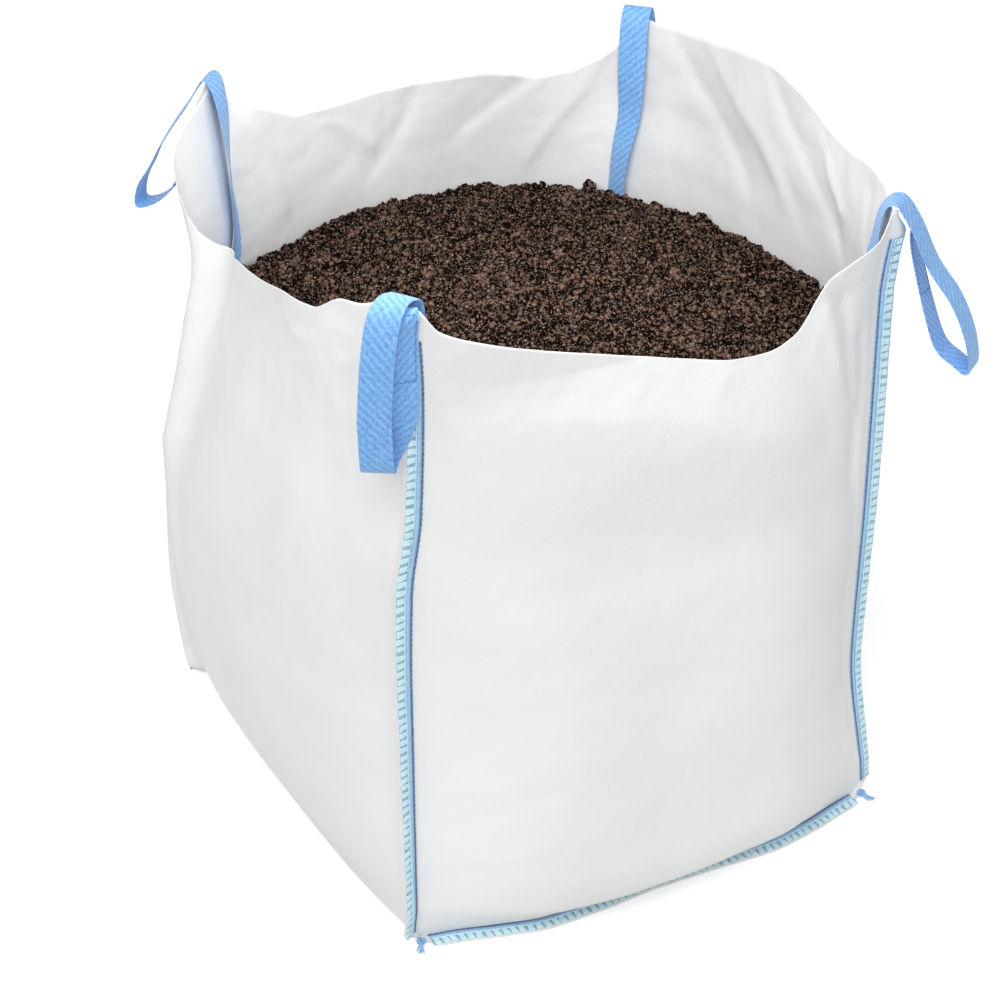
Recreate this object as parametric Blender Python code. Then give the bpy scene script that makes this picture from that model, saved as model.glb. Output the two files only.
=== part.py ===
"""Open bulk bag of woven sheet, filled with compost, with four webbing lift loops.

Metres, +Z up. The origin is at the centre of the base, on the floor. The front panel
faces -Y and the left side of the folded U panel faces -X.
"""
import math

import bmesh
import bpy
import numpy as np
from mathutils import noise

# Bag
BASE_SIDE = 0.850
FOLD_RADIUS = 0.024
FABRIC = 0.0012
CLEAR = 0.0006
SEAM_MARGIN = 0.031
U_PANEL_EXTRA_MARGIN = 0.004
END_MARGIN = 0.004
CORNER_EASE = 1.4
BULGE_POWER = 3.2
BACK_EASE = 1.4

# Seam trims, measured outward from the seam line over the margin
CHAIN_START = 0.0042
CHAIN_WIDTH = 0.0024
CHAIN_HEIGHT = 0.0010
TAPE_START = 0.0074
TAPE_WIDTH = 0.0062
TAPE_HEIGHT = 0.0010
OVERLOCK_START = 0.0144
OVERLOCK_SPINE = 0.0030
OVERLOCK_REACH = 0.0300
OVERLOCK_HEIGHT = 0.0022
STITCH_PITCH = 0.0140
RUNG_WIDTH = 0.0078
TRIM_CLEAR = 0.0005

# Webbing
STRAP_WIDTH = 0.050
STRAP_THICKNESS = 0.0024
STRAP_STATIONS = 34

# How far above the fill the inner end of each strap stops
STRAP_END_CLEAR = {
    "front_left": 0.0237,
    "front_right": 0.0254,
    "back_right": 0.0351,
    "back_left": 0.0506,
}

# Knots of thread at the two front bottom corners
KNOT_RADIUS = 0.0065
KNOT_OUT = 0.0017
KNOT_AHEAD = 0.0080
KNOT_TAIL = 0.020
KNOT_TAIL_RADIUS = 0.0035

# Compost
FILL_HEIGHT = 0.912
FILL_CROWN_X = 0.064
FILL_CROWN_Y = 0.085
FILL_CENTRE_Y = -0.20
LUMP_HEIGHT = 0.012
LUMP_SIZE = 0.055

# Each corner: which way it lies from the centre, and the height of its peak
CORNERS = {
    "front_left": (-1, -1),
    "front_right": (1, -1),
    "back_right": (1, 1),
    "back_left": (-1, 1),
}
PEAK = {
    "front_left": 1.132,
    "front_right": 1.098,
    "back_right": 1.094,
    "back_left": 1.143,
}

# How far each corner seam wanders from the square of the base: height, x shift, y shift
SEAM_SHIFT = {
    "front_left": (
        (0.00, 0.004, 0.0), (0.50, 0.004, 0.0), (0.66, 0.008, 0.0),
        (0.80, 0.026, 0.0), (1.00, 0.032, 0.0), (1.14, 0.026, 0.0),
    ),
    "front_right": (
        (0.00, 0.002, 0.0), (0.11, -0.018, 0.006), (0.30, -0.040, 0.014),
        (0.60, -0.035, 0.015), (0.95, -0.036, 0.015), (1.10, -0.016, 0.015),
    ),
    "back_right": (
        (0.00, 0.000, 0.0), (0.40, -0.012, 0.015), (0.75, -0.017, 0.025),
        (0.86, -0.003, 0.025), (0.95, 0.020, 0.025), (1.10, 0.034, 0.025),
    ),
    "back_left": (
        (0.00, 0.000, 0.0), (0.25, -0.020, 0.010), (0.48, -0.014, 0.010),
        (0.70, 0.050, 0.006), (0.88, 0.098, 0.005), (1.14, 0.074, 0.005),
    ),
}

# Each wall: its two corners and the way it faces
WALLS = {
    "front": ("front_left", "front_right", (0, -1)),
    "back": ("back_left", "back_right", (0, 1)),
    "left": ("front_left", "back_left", (-1, 0)),
    "right": ("front_right", "back_right", (1, 0)),
}

# How far the middle of each wall swells out of the line between its seams, by height
SWELL = {
    "front": (
        (0.0, 0.0), (0.024, 0.022), (0.07, 0.066), (0.15, 0.098), (0.40, 0.122),
        (0.80, 0.095), (1.0, 0.055),
    ),
    "back": (
        (0.0, 0.0), (0.024, 0.020), (0.07, 0.060), (0.15, 0.095), (0.40, 0.110),
        (0.80, 0.080), (1.1, 0.050),
    ),
    "left": ((0.0, 0.012), (0.10, 0.055), (0.40, 0.088), (0.80, 0.075), (1.1, 0.045)),
    "right": ((0.0, 0.012), (0.10, 0.055), (0.40, 0.092), (0.80, 0.085), (1.1, 0.060)),
}

# How far the bottom seam of the front and back bows out, by the share along it
BOTTOM_SEAM = (
    (0.0, -0.014), (0.08, 0.000), (0.16, 0.020), (0.25, 0.036), (0.36, 0.034),
    (0.48, 0.027), (0.60, 0.028), (0.73, 0.033), (0.85, 0.018), (0.93, 0.000),
    (1.0, -0.014),
)

# How far each front seam's margin leans forward, in degrees, by height
MARGIN_LEAN = {
    "front_left": ((0.0, 34.0), (0.70, 0.0)),
    "front_right": ((0.0, -26.0), (0.70, 0.0)),
    "back_left": ((0.0, 0.0), (1.0, 0.0)),
    "back_right": ((0.0, 0.0), (1.0, 0.0)),
}

# Height of the rim along each wall, by the share of the way from its first corner
RIM = {
    "front": (
        (0.03, 1.097), (0.10, 1.074), (0.20, 1.050), (0.33, 1.021), (0.50, 0.982),
        (0.62, 0.958), (0.70, 0.953), (0.76, 0.963), (0.80, 0.990), (0.83, 1.030),
        (0.90, 1.046), (0.97, 1.058),
    ),
    "back": (
        (0.04, 1.096), (0.11, 1.067), (0.20, 1.032), (0.28, 1.029), (0.40, 1.031),
        (0.52, 1.027), (0.65, 1.019), (0.73, 1.004), (0.80, 0.989), (0.87, 0.994),
        (0.91, 1.008), (0.97, 1.038),
    ),
    "left": (
        (0.05, 1.128), (0.09, 1.118), (0.17, 1.083), (0.25, 1.060), (0.36, 1.003),
        (0.52, 0.967), (0.61, 0.946), (0.76, 0.919), (0.87, 0.905), (0.90, 0.925),
        (0.94, 1.060), (0.97, 1.110),
    ),
    "right": (
        (0.04, 1.100), (0.08, 1.107), (0.16, 1.106), (0.25, 1.096), (0.34, 1.100),
        (0.40, 1.113), (0.48, 1.129), (0.57, 1.132), (0.71, 1.115), (0.83, 1.099),
        (0.89, 1.093), (0.96, 1.092),
    ),
}

# Where the left side bellies out past the tucked back left seam
LOBE_DEPTH = 0.085
LOBE_CENTRE = 0.925
LOBE_SPREAD = 0.050
LOBE_HEIGHTS = ((0.05, 0.0), (0.45, 0.30), (0.75, 0.75), (0.95, 1.0), (1.14, 1.25))

# Where the front swells over its bottom seam
OVERHANG_DEPTH = 0.022
OVERHANG_CENTRE = 0.48
OVERHANG_SPREAD = 0.20
OVERHANG_HEIGHTS = ((0.024, 0.0), (0.07, 1.0), (0.15, 0.8), (0.40, 0.0))

# Rows and columns that the sheets are laid out on
LOW_ROWS = (0.07, 0.15, 0.27, 0.40, 0.53, 0.66)
HIGH_ROWS = (0.36, 0.70, 1.0)
SIDE_SHARES = (
    0.0, 0.04, 0.09, 0.15, 0.22, 0.30, 0.40, 0.50, 0.60, 0.70, 0.78, 0.85, 0.90, 0.94,
    0.97, 1.0,
)
FRONT_SHARES = (
    0.09, 0.16, 0.25, 0.35, 0.45, 0.55, 0.64, 0.71, 0.76, 0.80, 0.84, 0.90,
)

# Each strap's centre line, as shifts from the peak of its corner, with the bearing of its
# width in degrees from +X. The first stations lie inside the bag.
STRAP_ROUTES = {
    "front_left": (
        (0.012, 0.034, -0.262, 90), (0.011, 0.036, -0.150, 93), (0.010, 0.040, -0.070, 100),
        (0.009, 0.042, -0.020, 108), (0.002, 0.040, 0.008, 120),
        (-0.012, 0.034, 0.020, 130), (-0.030, 0.024, 0.024, 135),
        (-0.046, 0.008, 0.020, 135),
        (-0.060, -0.002, -0.004, 135), (-0.072, -0.010, -0.050, 135),
        (-0.078, -0.013, -0.100, 135), (-0.079, -0.013, -0.155, 135),
        (-0.073, -0.008, -0.205, 135), (-0.060, 0.000, -0.246, 137),
        (-0.044, -0.006, -0.262, 148), (-0.037, -0.012, -0.240, 168),
        (-0.033, -0.0095, -0.205, 178), (-0.033, -0.0070, -0.142, 180),
        (-0.032, -0.0072, -0.012, 180),
    ),
    "front_right": (
        (-0.0195, 0.0286, -0.226, 90), (-0.0175, 0.0286, -0.140, 85), (-0.010, 0.026, -0.060, 66),
        (-0.006, 0.024, -0.016, 60), (0.002, 0.020, 0.010, 50), (0.014, 0.014, 0.020, 40),
        (0.026, 0.006, 0.012, 36), (0.041, -0.013, -0.029, 36), (0.058, -0.036, -0.086, 36),
        (0.079, -0.065, -0.130, 36), (0.092, -0.083, -0.168, 36),
        (0.101, -0.094, -0.209, 36), (0.102, -0.098, -0.250, 36),
        (0.087, -0.076, -0.239, 36), (0.071, -0.052, -0.218, 36),
        (0.062, -0.028, -0.165, 38), (0.057, -0.004, -0.110, 41),
        (0.055, 0.014, -0.060, 43), (0.052, 0.016, -0.020, 43),
    ),
    "back_right": (
        (-0.0484, -0.0226, -0.292, 92), (-0.0412, -0.0228, -0.240, 97),
        (-0.0256, -0.0203, -0.180, 108), (-0.024, -0.022, -0.110, 124),
        (-0.020, -0.019, -0.050, 134), (-0.014, -0.014, -0.006, 135),
        (-0.003, -0.003, 0.013, 135), (0.010, 0.010, 0.008, 135),
        (0.024, 0.024, -0.030, 135), (0.046, 0.046, -0.090, 135),
        (0.068, 0.068, -0.160, 135), (0.074, 0.074, -0.215, 135),
        (0.058, 0.058, -0.240, 135), (0.034, 0.034, -0.200, 135),
        (0.026, 0.026, -0.130, 135), (0.026, 0.026, -0.060, 135),
    ),
    "back_left": (
        (0.0195, -0.0252, -0.300, 80), (0.0205, -0.0252, -0.240, 78),
        (0.0155, -0.0262, -0.180, 72),
        (0.011, -0.031, -0.110, 64), (0.008, -0.026, -0.050, 52), (0.003, -0.012, 0.000, 45),
        (-0.006, 0.004, 0.014, 45), (-0.018, 0.018, -0.014, 45),
        (-0.029, 0.029, -0.040, 45), (-0.048, 0.048, -0.081, 45),
        (-0.068, 0.068, -0.126, 45), (-0.080, 0.080, -0.161, 45),
        (-0.095, 0.095, -0.200, 45), (-0.097, 0.097, -0.235, 45),
        (-0.073, 0.073, -0.224, 45), (-0.050, 0.050, -0.191, 45),
        (-0.033, 0.033, -0.140, 45), (-0.027, 0.027, -0.080, 45),
    ),
}

COLOURS = {
    "fabric": (0.80, 0.80, 0.79, 1.0),
    "compost": (0.060, 0.036, 0.024, 1.0),
    "webbing": (0.13, 0.38, 0.82, 1.0),
    "overlock": (0.58, 0.86, 0.95, 1.0),
    "tape": (0.45, 0.70, 0.90, 1.0),
    "thread": (0.06, 0.13, 0.30, 1.0),
}

HALF = BASE_SIDE / 2
BASE_LEVEL = FABRIC / 2
LAYER = FABRIC + CLEAR


def smooth(points, at):
    """Read a curve through (place, value) points, without overshoot at the ends."""
    places = [p[0] for p in points]
    if at <= places[0]:
        return points[0][1]
    if at >= places[-1]:
        return points[-1][1]
    k = max(i for i in range(len(places) - 1) if places[i] <= at)
    slopes = [
        (points[i + 1][1] - points[i][1]) / (places[i + 1] - places[i])
        for i in range(len(points) - 1)
    ]

    def knot_slope(i):
        if i == 0 or i == len(points) - 1:
            return slopes[0 if i == 0 else -1]
        if slopes[i - 1] * slopes[i] <= 0:
            return 0.0
        return 2 * slopes[i - 1] * slopes[i] / (slopes[i - 1] + slopes[i])

    span = places[k + 1] - places[k]
    t = (at - places[k]) / span
    start, end = points[k][1], points[k + 1][1]
    a, b = knot_slope(k) * span, knot_slope(k + 1) * span
    return (
        (2 * t**3 - 3 * t**2 + 1) * start + (t**3 - 2 * t**2 + t) * a
        + (-2 * t**3 + 3 * t**2) * end + (t**3 - t**2) * b
    )


def corner_at(corner, height):
    """Plan position of a corner seam at a height."""
    side_x, side_y = CORNERS[corner]
    shifts = SEAM_SHIFT[corner]
    shift_x = smooth([(p[0], p[1]) for p in shifts], height)
    shift_y = smooth([(p[0], p[2]) for p in shifts], height)
    tuck = -BOTTOM_SEAM[0][1] * max(0.0, 1 - height / LOW_ROWS[0])
    return np.array([side_x * HALF + shift_x, side_y * (HALF - tuck) + shift_y])


def belly(share):
    """Share of a wall's swell at a place along it."""
    return 1 - abs(2 * share - 1) ** BULGE_POWER


def wall_point(wall, share, height):
    """Point in the middle of a wall's sheet."""
    first, last, facing = WALLS[wall]
    line = corner_at(first, height) * (1 - share) + corner_at(last, height) * share
    eased = share ** BACK_EASE if wall == "back" else share
    out = smooth(SWELL[wall], height) * belly(eased)
    if wall in ("front", "back"):
        fade = max(0.0, 1 - height / LOW_ROWS[-1])
        out += (smooth(BOTTOM_SEAM, share) - BOTTOM_SEAM[0][1]) * fade
    if wall == "left":
        lobe = math.exp(-(((share - LOBE_CENTRE) / LOBE_SPREAD) ** 2))
        lobe -= math.exp(-(((1 - LOBE_CENTRE) / LOBE_SPREAD) ** 2)) * share**8
        out += LOBE_DEPTH * max(0.0, lobe) * smooth(LOBE_HEIGHTS, height)
    if wall == "front":
        over = math.exp(-(((share - OVERHANG_CENTRE) / OVERHANG_SPREAD) ** 2))
        out += OVERHANG_DEPTH * over * smooth(OVERHANG_HEIGHTS, height)
    x, y = line + np.array(facing) * out
    return np.array([x, y, height])


def rim_height(wall, share):
    first, last, _ = WALLS[wall]
    points = ((0.0, PEAK[first]),) + RIM[wall] + ((1.0, PEAK[last]),)
    return smooth(points, share)


def fill_level(x, y):
    """Height of the compost before its lumps."""
    across = (x / HALF) ** 2
    along = abs((y - FILL_CENTRE_Y) / (HALF - FILL_CENTRE_Y)) ** 1.6
    return FILL_HEIGHT - FILL_CROWN_X * across - FILL_CROWN_Y * along


def row_height(wall, share, row):
    """Height of a row of the sheets: level below the fill, then its edge, then the rim."""
    if row == 0:
        return FOLD_RADIUS
    if row <= len(LOW_ROWS):
        return LOW_ROWS[row - 1]
    x, y, _ = wall_point(wall, share, FILL_HEIGHT - FILL_CROWN_Y)
    edge = fill_level(x, y)
    if row == len(LOW_ROWS) + 1:
        return edge
    part = HIGH_ROWS[row - len(LOW_ROWS) - 2]
    return edge + (rim_height(wall, share) - edge) * part


ROWS = len(LOW_ROWS) + 2 + len(HIGH_ROWS)
FILL_ROW = len(LOW_ROWS) + 1


def material(name):
    mat = bpy.data.materials.new(name)
    mat.use_nodes = True
    shader = mat.node_tree.nodes["Principled BSDF"]
    shader.inputs["Base Color"].default_value = COLOURS[name.split(".")[0]]
    shader.inputs["Roughness"].default_value = 0.75
    shader.inputs["Metallic"].default_value = 0.0
    return mat


def add_object(name, points, faces, kind):
    """Make one object from its points and faces, with its own material."""
    mesh = bpy.data.meshes.new(name)
    mesh.from_pydata([tuple(float(v) for v in p) for p in points], [], faces)
    mesh.update()
    mesh.materials.append(material(f"{kind}.{name}"))
    obj = bpy.data.objects.new(name, mesh)
    bpy.context.scene.collection.objects.link(obj)
    return obj


def cells(grid):
    """Two triangles for each cell of a grid of point numbers, always cut the same way."""
    faces = []
    for a_row, b_row in zip(grid[:-1], grid[1:]):
        for i in range(len(a_row) - 1):
            a, b, c, d = a_row[i], a_row[i + 1], b_row[i + 1], b_row[i]
            faces.append((a, b, c))
            faces.append((a, c, d))
    return faces


def point_normals(points, faces):
    """Outward direction at each point, lengthened where faces meet at an angle."""
    points = np.array(points)
    total = np.zeros_like(points)
    face_normals = []
    for face in faces:
        a, b, c = (points[k] for k in face)
        cross = np.cross(b - a, c - a)
        face_normals.append(cross / np.linalg.norm(cross))
        for k in face:
            total[k] += cross
    total /= np.linalg.norm(total, axis=1)[:, None]
    tightest = np.ones(len(points))
    for face, normal in zip(faces, face_normals):
        for k in face:
            tightest[k] = min(tightest[k], total[k] @ normal)
    return total / np.maximum(tightest, 0.92)[:, None]


def thicken(points, faces, thickness):
    """Turn a sheet into a closed body of the thickness, and give its outward directions."""
    normals = point_normals(points, faces)
    outer = np.array(points) + normals * thickness / 2
    outer[:, 2] = np.maximum(outer[:, 2], 0.0)
    inner = np.array(points) - normals * thickness / 2
    count = len(points)
    shell = list(faces)
    shell += [tuple(k + count for k in reversed(f)) for f in faces]
    edges = {}
    for face in faces:
        for a, b in zip(face, face[1:] + face[:1]):
            edges[(a, b)] = edges.get((a, b), 0) + 1
    for a, b in edges:
        if (b, a) not in edges:
            shell.append((b, a, a + count))
            shell.append((b, a + count, b + count))
    return np.vstack([outer, inner]), shell, normals


class Sheet:
    """Collects points and grids of one woven sheet."""

    def __init__(self):
        self.points = []
        self.faces = []

    def add(self, point):
        self.points.append(np.array(point, float))
        return len(self.points) - 1

    def rows(self, grid):
        self.faces += cells(grid)


def side_path(wall_side, share):
    """Points down one side wall of the U panel, round its fold and on to the base."""
    facing = np.array(WALLS[wall_side][2] + (0,), float)
    path = [
        wall_point(wall_side, share, row_height(wall_side, share, row))
        for row in range(ROWS - 1, -1, -1)
    ]
    foot = path[-1]
    reach = FOLD_RADIUS - BASE_LEVEL
    centre = foot - facing * reach
    for angle in (math.pi / 4, math.pi / 2):
        drop = np.array([0, 0, reach * math.sin(angle)])
        path.append(centre + facing * reach * math.cos(angle) - drop)
    return path


def base_front(wall, x):
    """Point of the base's front or back seam at a place across the bag."""
    first, last, _ = WALLS[wall]
    a, b = corner_at(first, 0)[0], corner_at(last, 0)[0]
    y = wall_point(wall, (x - a) / (b - a), 0)[1]
    return np.array([x, y, BASE_LEVEL])


def u_panel_grid():
    """Points of the U panel: one row for each station from the left rim to the right rim."""
    left = [side_path("left", share) for share in SIDE_SHARES]
    right = [side_path("right", share) for share in SIDE_SHARES]
    stations = [[path[k] for path in left] for k in range(len(left[0]))]
    left_end = stations[-1]
    right_end = [path[-1] for path in right]
    for across in FRONT_SHARES:
        x_front = left_end[0][0] * (1 - across) + right_end[0][0] * across
        x_back = left_end[-1][0] * (1 - across) + right_end[-1][0] * across
        front = base_front("front", x_front)
        back = base_front("back", x_back)
        stations.append([front * (1 - s) + back * s for s in SIDE_SHARES])
    stations += [[path[k] for path in right] for k in range(len(right[0]) - 1, -1, -1)]
    seams = {"front": base_seam(stations, 0, "front"), "back": base_seam(stations, -1, "back")}
    return stations, seams


def base_seam(stations, end, wall):
    """Draw the two ends of the base seam to its bow, and return the whole seam path."""
    top = len(side_path("left", 0.0))
    for k in (top - 1, len(stations) - top):
        x = stations[k][end][0]
        stations[k][end] = base_front(wall, x)
    return [row[end] for row in stations]


def margin_ways(path, wall):
    """For each station of a seam: the way its margin runs and the way it faces."""
    facing = np.array(WALLS[wall][2] + (0,), float)
    up = np.array([0, 0, 1.0])
    top = len(side_path("left", 0.0))
    last = len(path) - 1
    ways = []
    for k, point in enumerate(path):
        first_half = k < len(path) / 2
        corner = WALLS[wall][0 if first_half else 1]
        side = np.array([CORNERS[corner][0], 0.0, 0.0])
        lean = math.radians(smooth(MARGIN_LEAN[corner], point[2]))
        out = side * math.cos(lean) + facing * math.sin(lean)
        face = facing * math.cos(lean) - side * math.sin(lean)
        from_end = min(k, last - k)
        if from_end < top - 2:
            ways.append((out, face))
        elif from_end == top - 2:
            between = out + facing
            ways.append((between / np.linalg.norm(between), (face + up) * CORNER_EASE))
        else:
            ways.append((facing, up))
    return ways


def margin_width(k, last, full):
    """Width of a seam's margin, which narrows at the rim and at the bottom corners."""
    from_end = min(k, last - k)
    if from_end in (0, ROWS):
        return END_MARGIN
    if abs(from_end - ROWS) == 1:
        return SEAM_MARGIN
    return full


def build_u_panel():
    stations, seams = u_panel_grid()
    sheet = Sheet()
    numbers = []
    ways = {wall: margin_ways(seams[wall], wall) for wall in seams}
    last = len(stations) - 1
    full = SEAM_MARGIN + U_PANEL_EXTRA_MARGIN
    for k, row in enumerate(stations):
        width = margin_width(k, last, full)
        front_edge = row[0] + ways["front"][k][0] * width
        back_edge = row[-1] + ways["back"][k][0] * width
        numbers.append([sheet.add(p) for p in [front_edge] + row + [back_edge]])
    sheet.rows(numbers)
    points, faces, normals = thicken(sheet.points, sheet.faces, FABRIC)
    add_object("u_panel", points, faces, "fabric")
    inner = [
        [sheet.points[n] - normals[n] * (FABRIC / 2 + CLEAR) for n in row[1:-1]]
        for row in numbers
    ]
    return stations, seams, inner


def build_end_panel(wall, seam):
    """The front or back panel: its face, and the margin sewn to the U panel's."""
    ways = margin_ways(seam, wall)
    last = len(seam) - 1
    side_count = ROWS + 1
    sheet = Sheet()
    edge = [p + ways[k][1] * LAYER for k, p in enumerate(seam)]
    numbers_edge = [sheet.add(p) for p in edge]
    bottom = numbers_edge[side_count:last - side_count + 1]
    left = list(reversed(numbers_edge[:side_count]))
    right = numbers_edge[last - side_count + 1:]
    first_x, last_x = corner_at(WALLS[wall][0], 0)[0], corner_at(WALLS[wall][1], 0)[0]
    shares = [(sheet.points[n][0] - first_x) / (last_x - first_x) for n in bottom]
    grid = [[left[0]] + bottom + [right[0]]]
    facing = np.array(WALLS[wall][2] + (0,), float)
    for row in range(ROWS):
        line = [left[row + 1]]
        for share in shares:
            height = row_height(wall, share, row)
            line.append(sheet.add(wall_point(wall, share, height) + facing * LAYER))
        line.append(right[row + 1])
        grid.append(line)
    margin = []
    for k in range(len(seam)):
        width = margin_width(k, last, SEAM_MARGIN)
        margin.append(sheet.add(edge[k] + ways[k][0] * width))
    if wall == "front":
        sheet.rows(grid)
        sheet.rows([margin, numbers_edge])
    else:
        sheet.rows([line[::-1] for line in grid])
        sheet.rows([numbers_edge, margin])
    points, faces, normals = thicken(sheet.points, sheet.faces, FABRIC)
    add_object(f"{wall}_panel", points, faces, "fabric")
    inner = [
        [sheet.points[n] - normals[n] * (FABRIC / 2 + CLEAR) for n in row] for row in grid
    ]
    return edge, ways, inner


def add_sweep(name, rings, kind):
    """A closed body through rings of points, with a flat end at each end."""
    points = [p for ring in rings for p in ring]
    size = len(rings[0])
    faces = []
    for k in range(len(rings) - 1):
        for i in range(size):
            a, b = k * size + i, k * size + (i + 1) % size
            c, d = b + size, a + size
            faces += [(a, b, c), (a, c, d)]
    start = len(points) - size
    for i in range(1, size - 1):
        faces.append((0, i + 1, i))
        faces.append((start, start + i, start + i + 1))
    return add_object(name, points, faces, kind)


def outward(name):
    """Turn an object's faces outward and leave it a closed body."""
    mesh = bpy.data.objects[name].data
    shape = bmesh.new()
    shape.from_mesh(mesh)
    bmesh.ops.recalc_face_normals(shape, faces=shape.faces)
    shape.to_mesh(mesh)
    shape.free()


def top_level(x, y):
    """Height of the compost with its lumps."""
    lump = noise.noise((x / LUMP_SIZE, y / LUMP_SIZE, 0.5))
    return fill_level(x, y) + LUMP_HEIGHT * lump


def compost_ring(row, front_inner, back_inner, side_inner, seams):
    """Points of the fill against the sheets, round one row, with their four sides apart."""
    count = len(side_inner)
    left = [p.copy() for p in side_inner[ROWS - 1 - row]]
    right = [p.copy() for p in side_inner[count - ROWS + row]]
    front = [p.copy() for p in front_inner[row + 1]]
    back = [p.copy() for p in back_inner[row + 1]]
    reach = FABRIC / 2 + 2 * CLEAR
    for line, y_way, wall in ((front, 1, "front"), (back, -1, "back")):
        seam = seams[wall]
        for end, side, x_way in ((0, left, 1), (-1, right, -1)):
            k = ROWS - 1 - row if end == 0 else len(seam) - ROWS + row
            corner = seam[k] + np.array([x_way * reach, y_way * reach, 0])
            line[end] = corner
            side[0 if wall == "front" else -1] = corner
    return front, right, back, left


def build_compost(front_inner, back_inner, side_inner, seams):
    """The fill, fitted inside the sheets, with a lumpy crown."""
    rings = []
    level = FABRIC + CLEAR
    inset = FOLD_RADIUS / 3
    sides = compost_ring(0, front_inner, back_inner, side_inner, seams)
    front, right, back, left = [[p.copy() for p in line] for line in sides]
    for line, wall, way in ((front, "front", 1), (back, "back", -1)):
        seam = seams[wall][ROWS:len(seams[wall]) - ROWS]
        for p, s in zip(line, seam):
            p[:] = (s[0], s[1] + way * inset, level)
    top = ROWS + 1
    for line, k, way in ((left, top, 1), (right, len(side_inner) - 1 - top, -1)):
        for p, s in zip(line, side_inner[k]):
            p[:] = (s[0] + way * CLEAR, s[1], level)
    for line, wall in ((front, "front"), (back, "back")):
        seam = seams[wall][ROWS + 1:len(seams[wall]) - ROWS - 1]
        line[0][0] = max(left[1][0], seam[0][0] + 2 * CLEAR)
        line[-1][0] = min(right[1][0], seam[-1][0] - 2 * CLEAR)
    all_sides = [(front, right, back, left)]
    for row in range(FILL_ROW + 1):
        all_sides.append(compost_ring(row, front_inner, back_inner, side_inner, seams))
    points = []
    for front, right, back, left in all_sides:
        ring = front + right[1:-1] + back[::-1] + left[::-1][1:-1]
        rings.append(list(range(len(points), len(points) + len(ring))))
        points += ring
    faces = []
    for low, high in zip(rings[:-1], rings[1:]):
        faces += cells([low + low[:1], high + high[:1]])
    centre = len(points)
    points.append(np.array([0, 0, level]))
    for a, b in zip(rings[0], rings[0][1:] + rings[0][:1]):
        faces.append((centre, b, a))
    faces += crown(points, rings[-1], all_sides[-1])
    add_object("compost", points, faces, "compost")
    outward("compost")


def crown(points, ring, sides):
    """Points and faces of the fill's top, blended between its four edges."""
    front, right, back, left = sides
    columns, rows = len(front), len(right)
    table = [[None] * columns for _ in range(rows)]
    table[0] = ring[:columns]
    for j in range(1, rows - 1):
        table[j][-1] = ring[columns + j - 1]
        table[j][0] = ring[len(ring) - j]
    table[-1] = ring[columns + rows - 2:columns + rows - 2 + columns][::-1]
    for j in range(1, rows - 1):
        v = SIDE_SHARES[j]
        for i in range(1, columns - 1):
            u = (front[i][0] - front[0][0]) / (front[-1][0] - front[0][0])
            across = left[j] * (1 - u) + right[j] * u
            along = front[i] * (1 - v) + back[i] * v
            flat = (
                (front[0] * (1 - u) + front[-1] * u) * (1 - v)
                + (back[0] * (1 - u) + back[-1] * u) * v
            )
            x, y, _ = across + along - flat
            table[j][i] = len(points)
            points.append(np.array([x, y, top_level(x, y)]))
    return cells([line[::-1] for line in table])


def trim_stations(edge, ways, run):
    """Where a seam's trims start, which way they run out and which way they face."""
    last = len(edge) - 1
    spans = {
        "left": range(1, ROWS),
        "bottom": range(ROWS + 1, last - ROWS),
        "right": range(last - ROWS + 1, last),
    }
    stations = []
    for k in spans[run]:
        out, face = ways[k]
        stations.append((edge[k] + face * (FABRIC / 2 + TRIM_CLEAR), out, face))
    return stations


def on_margin(station, ahead, t, reach, lift):
    """Point over a margin between two stations, whose sheet is cut corner to corner."""
    (at, out, face), (to, out_to, face_to) = station, ahead
    across = reach / SEAM_MARGIN
    tip, tip_ahead = at + out * SEAM_MARGIN, to + out_to * SEAM_MARGIN
    if t + across <= 1:
        point = at + (to - at) * t + (tip - at) * across
    else:
        point = tip_ahead + (tip - tip_ahead) * (1 - t) + (to - tip_ahead) * (1 - across)
    return point + (face * (1 - t) + face_to * t) * lift


def build_strip(name, stations, start, width, height, kind):
    rings = []
    for at, out, face in stations:
        near, far = at + out * start, at + out * (start + width)
        rings.append([near, far, far + face * height, near + face * height])
    add_sweep(name, rings, kind)
    outward(name)


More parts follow.
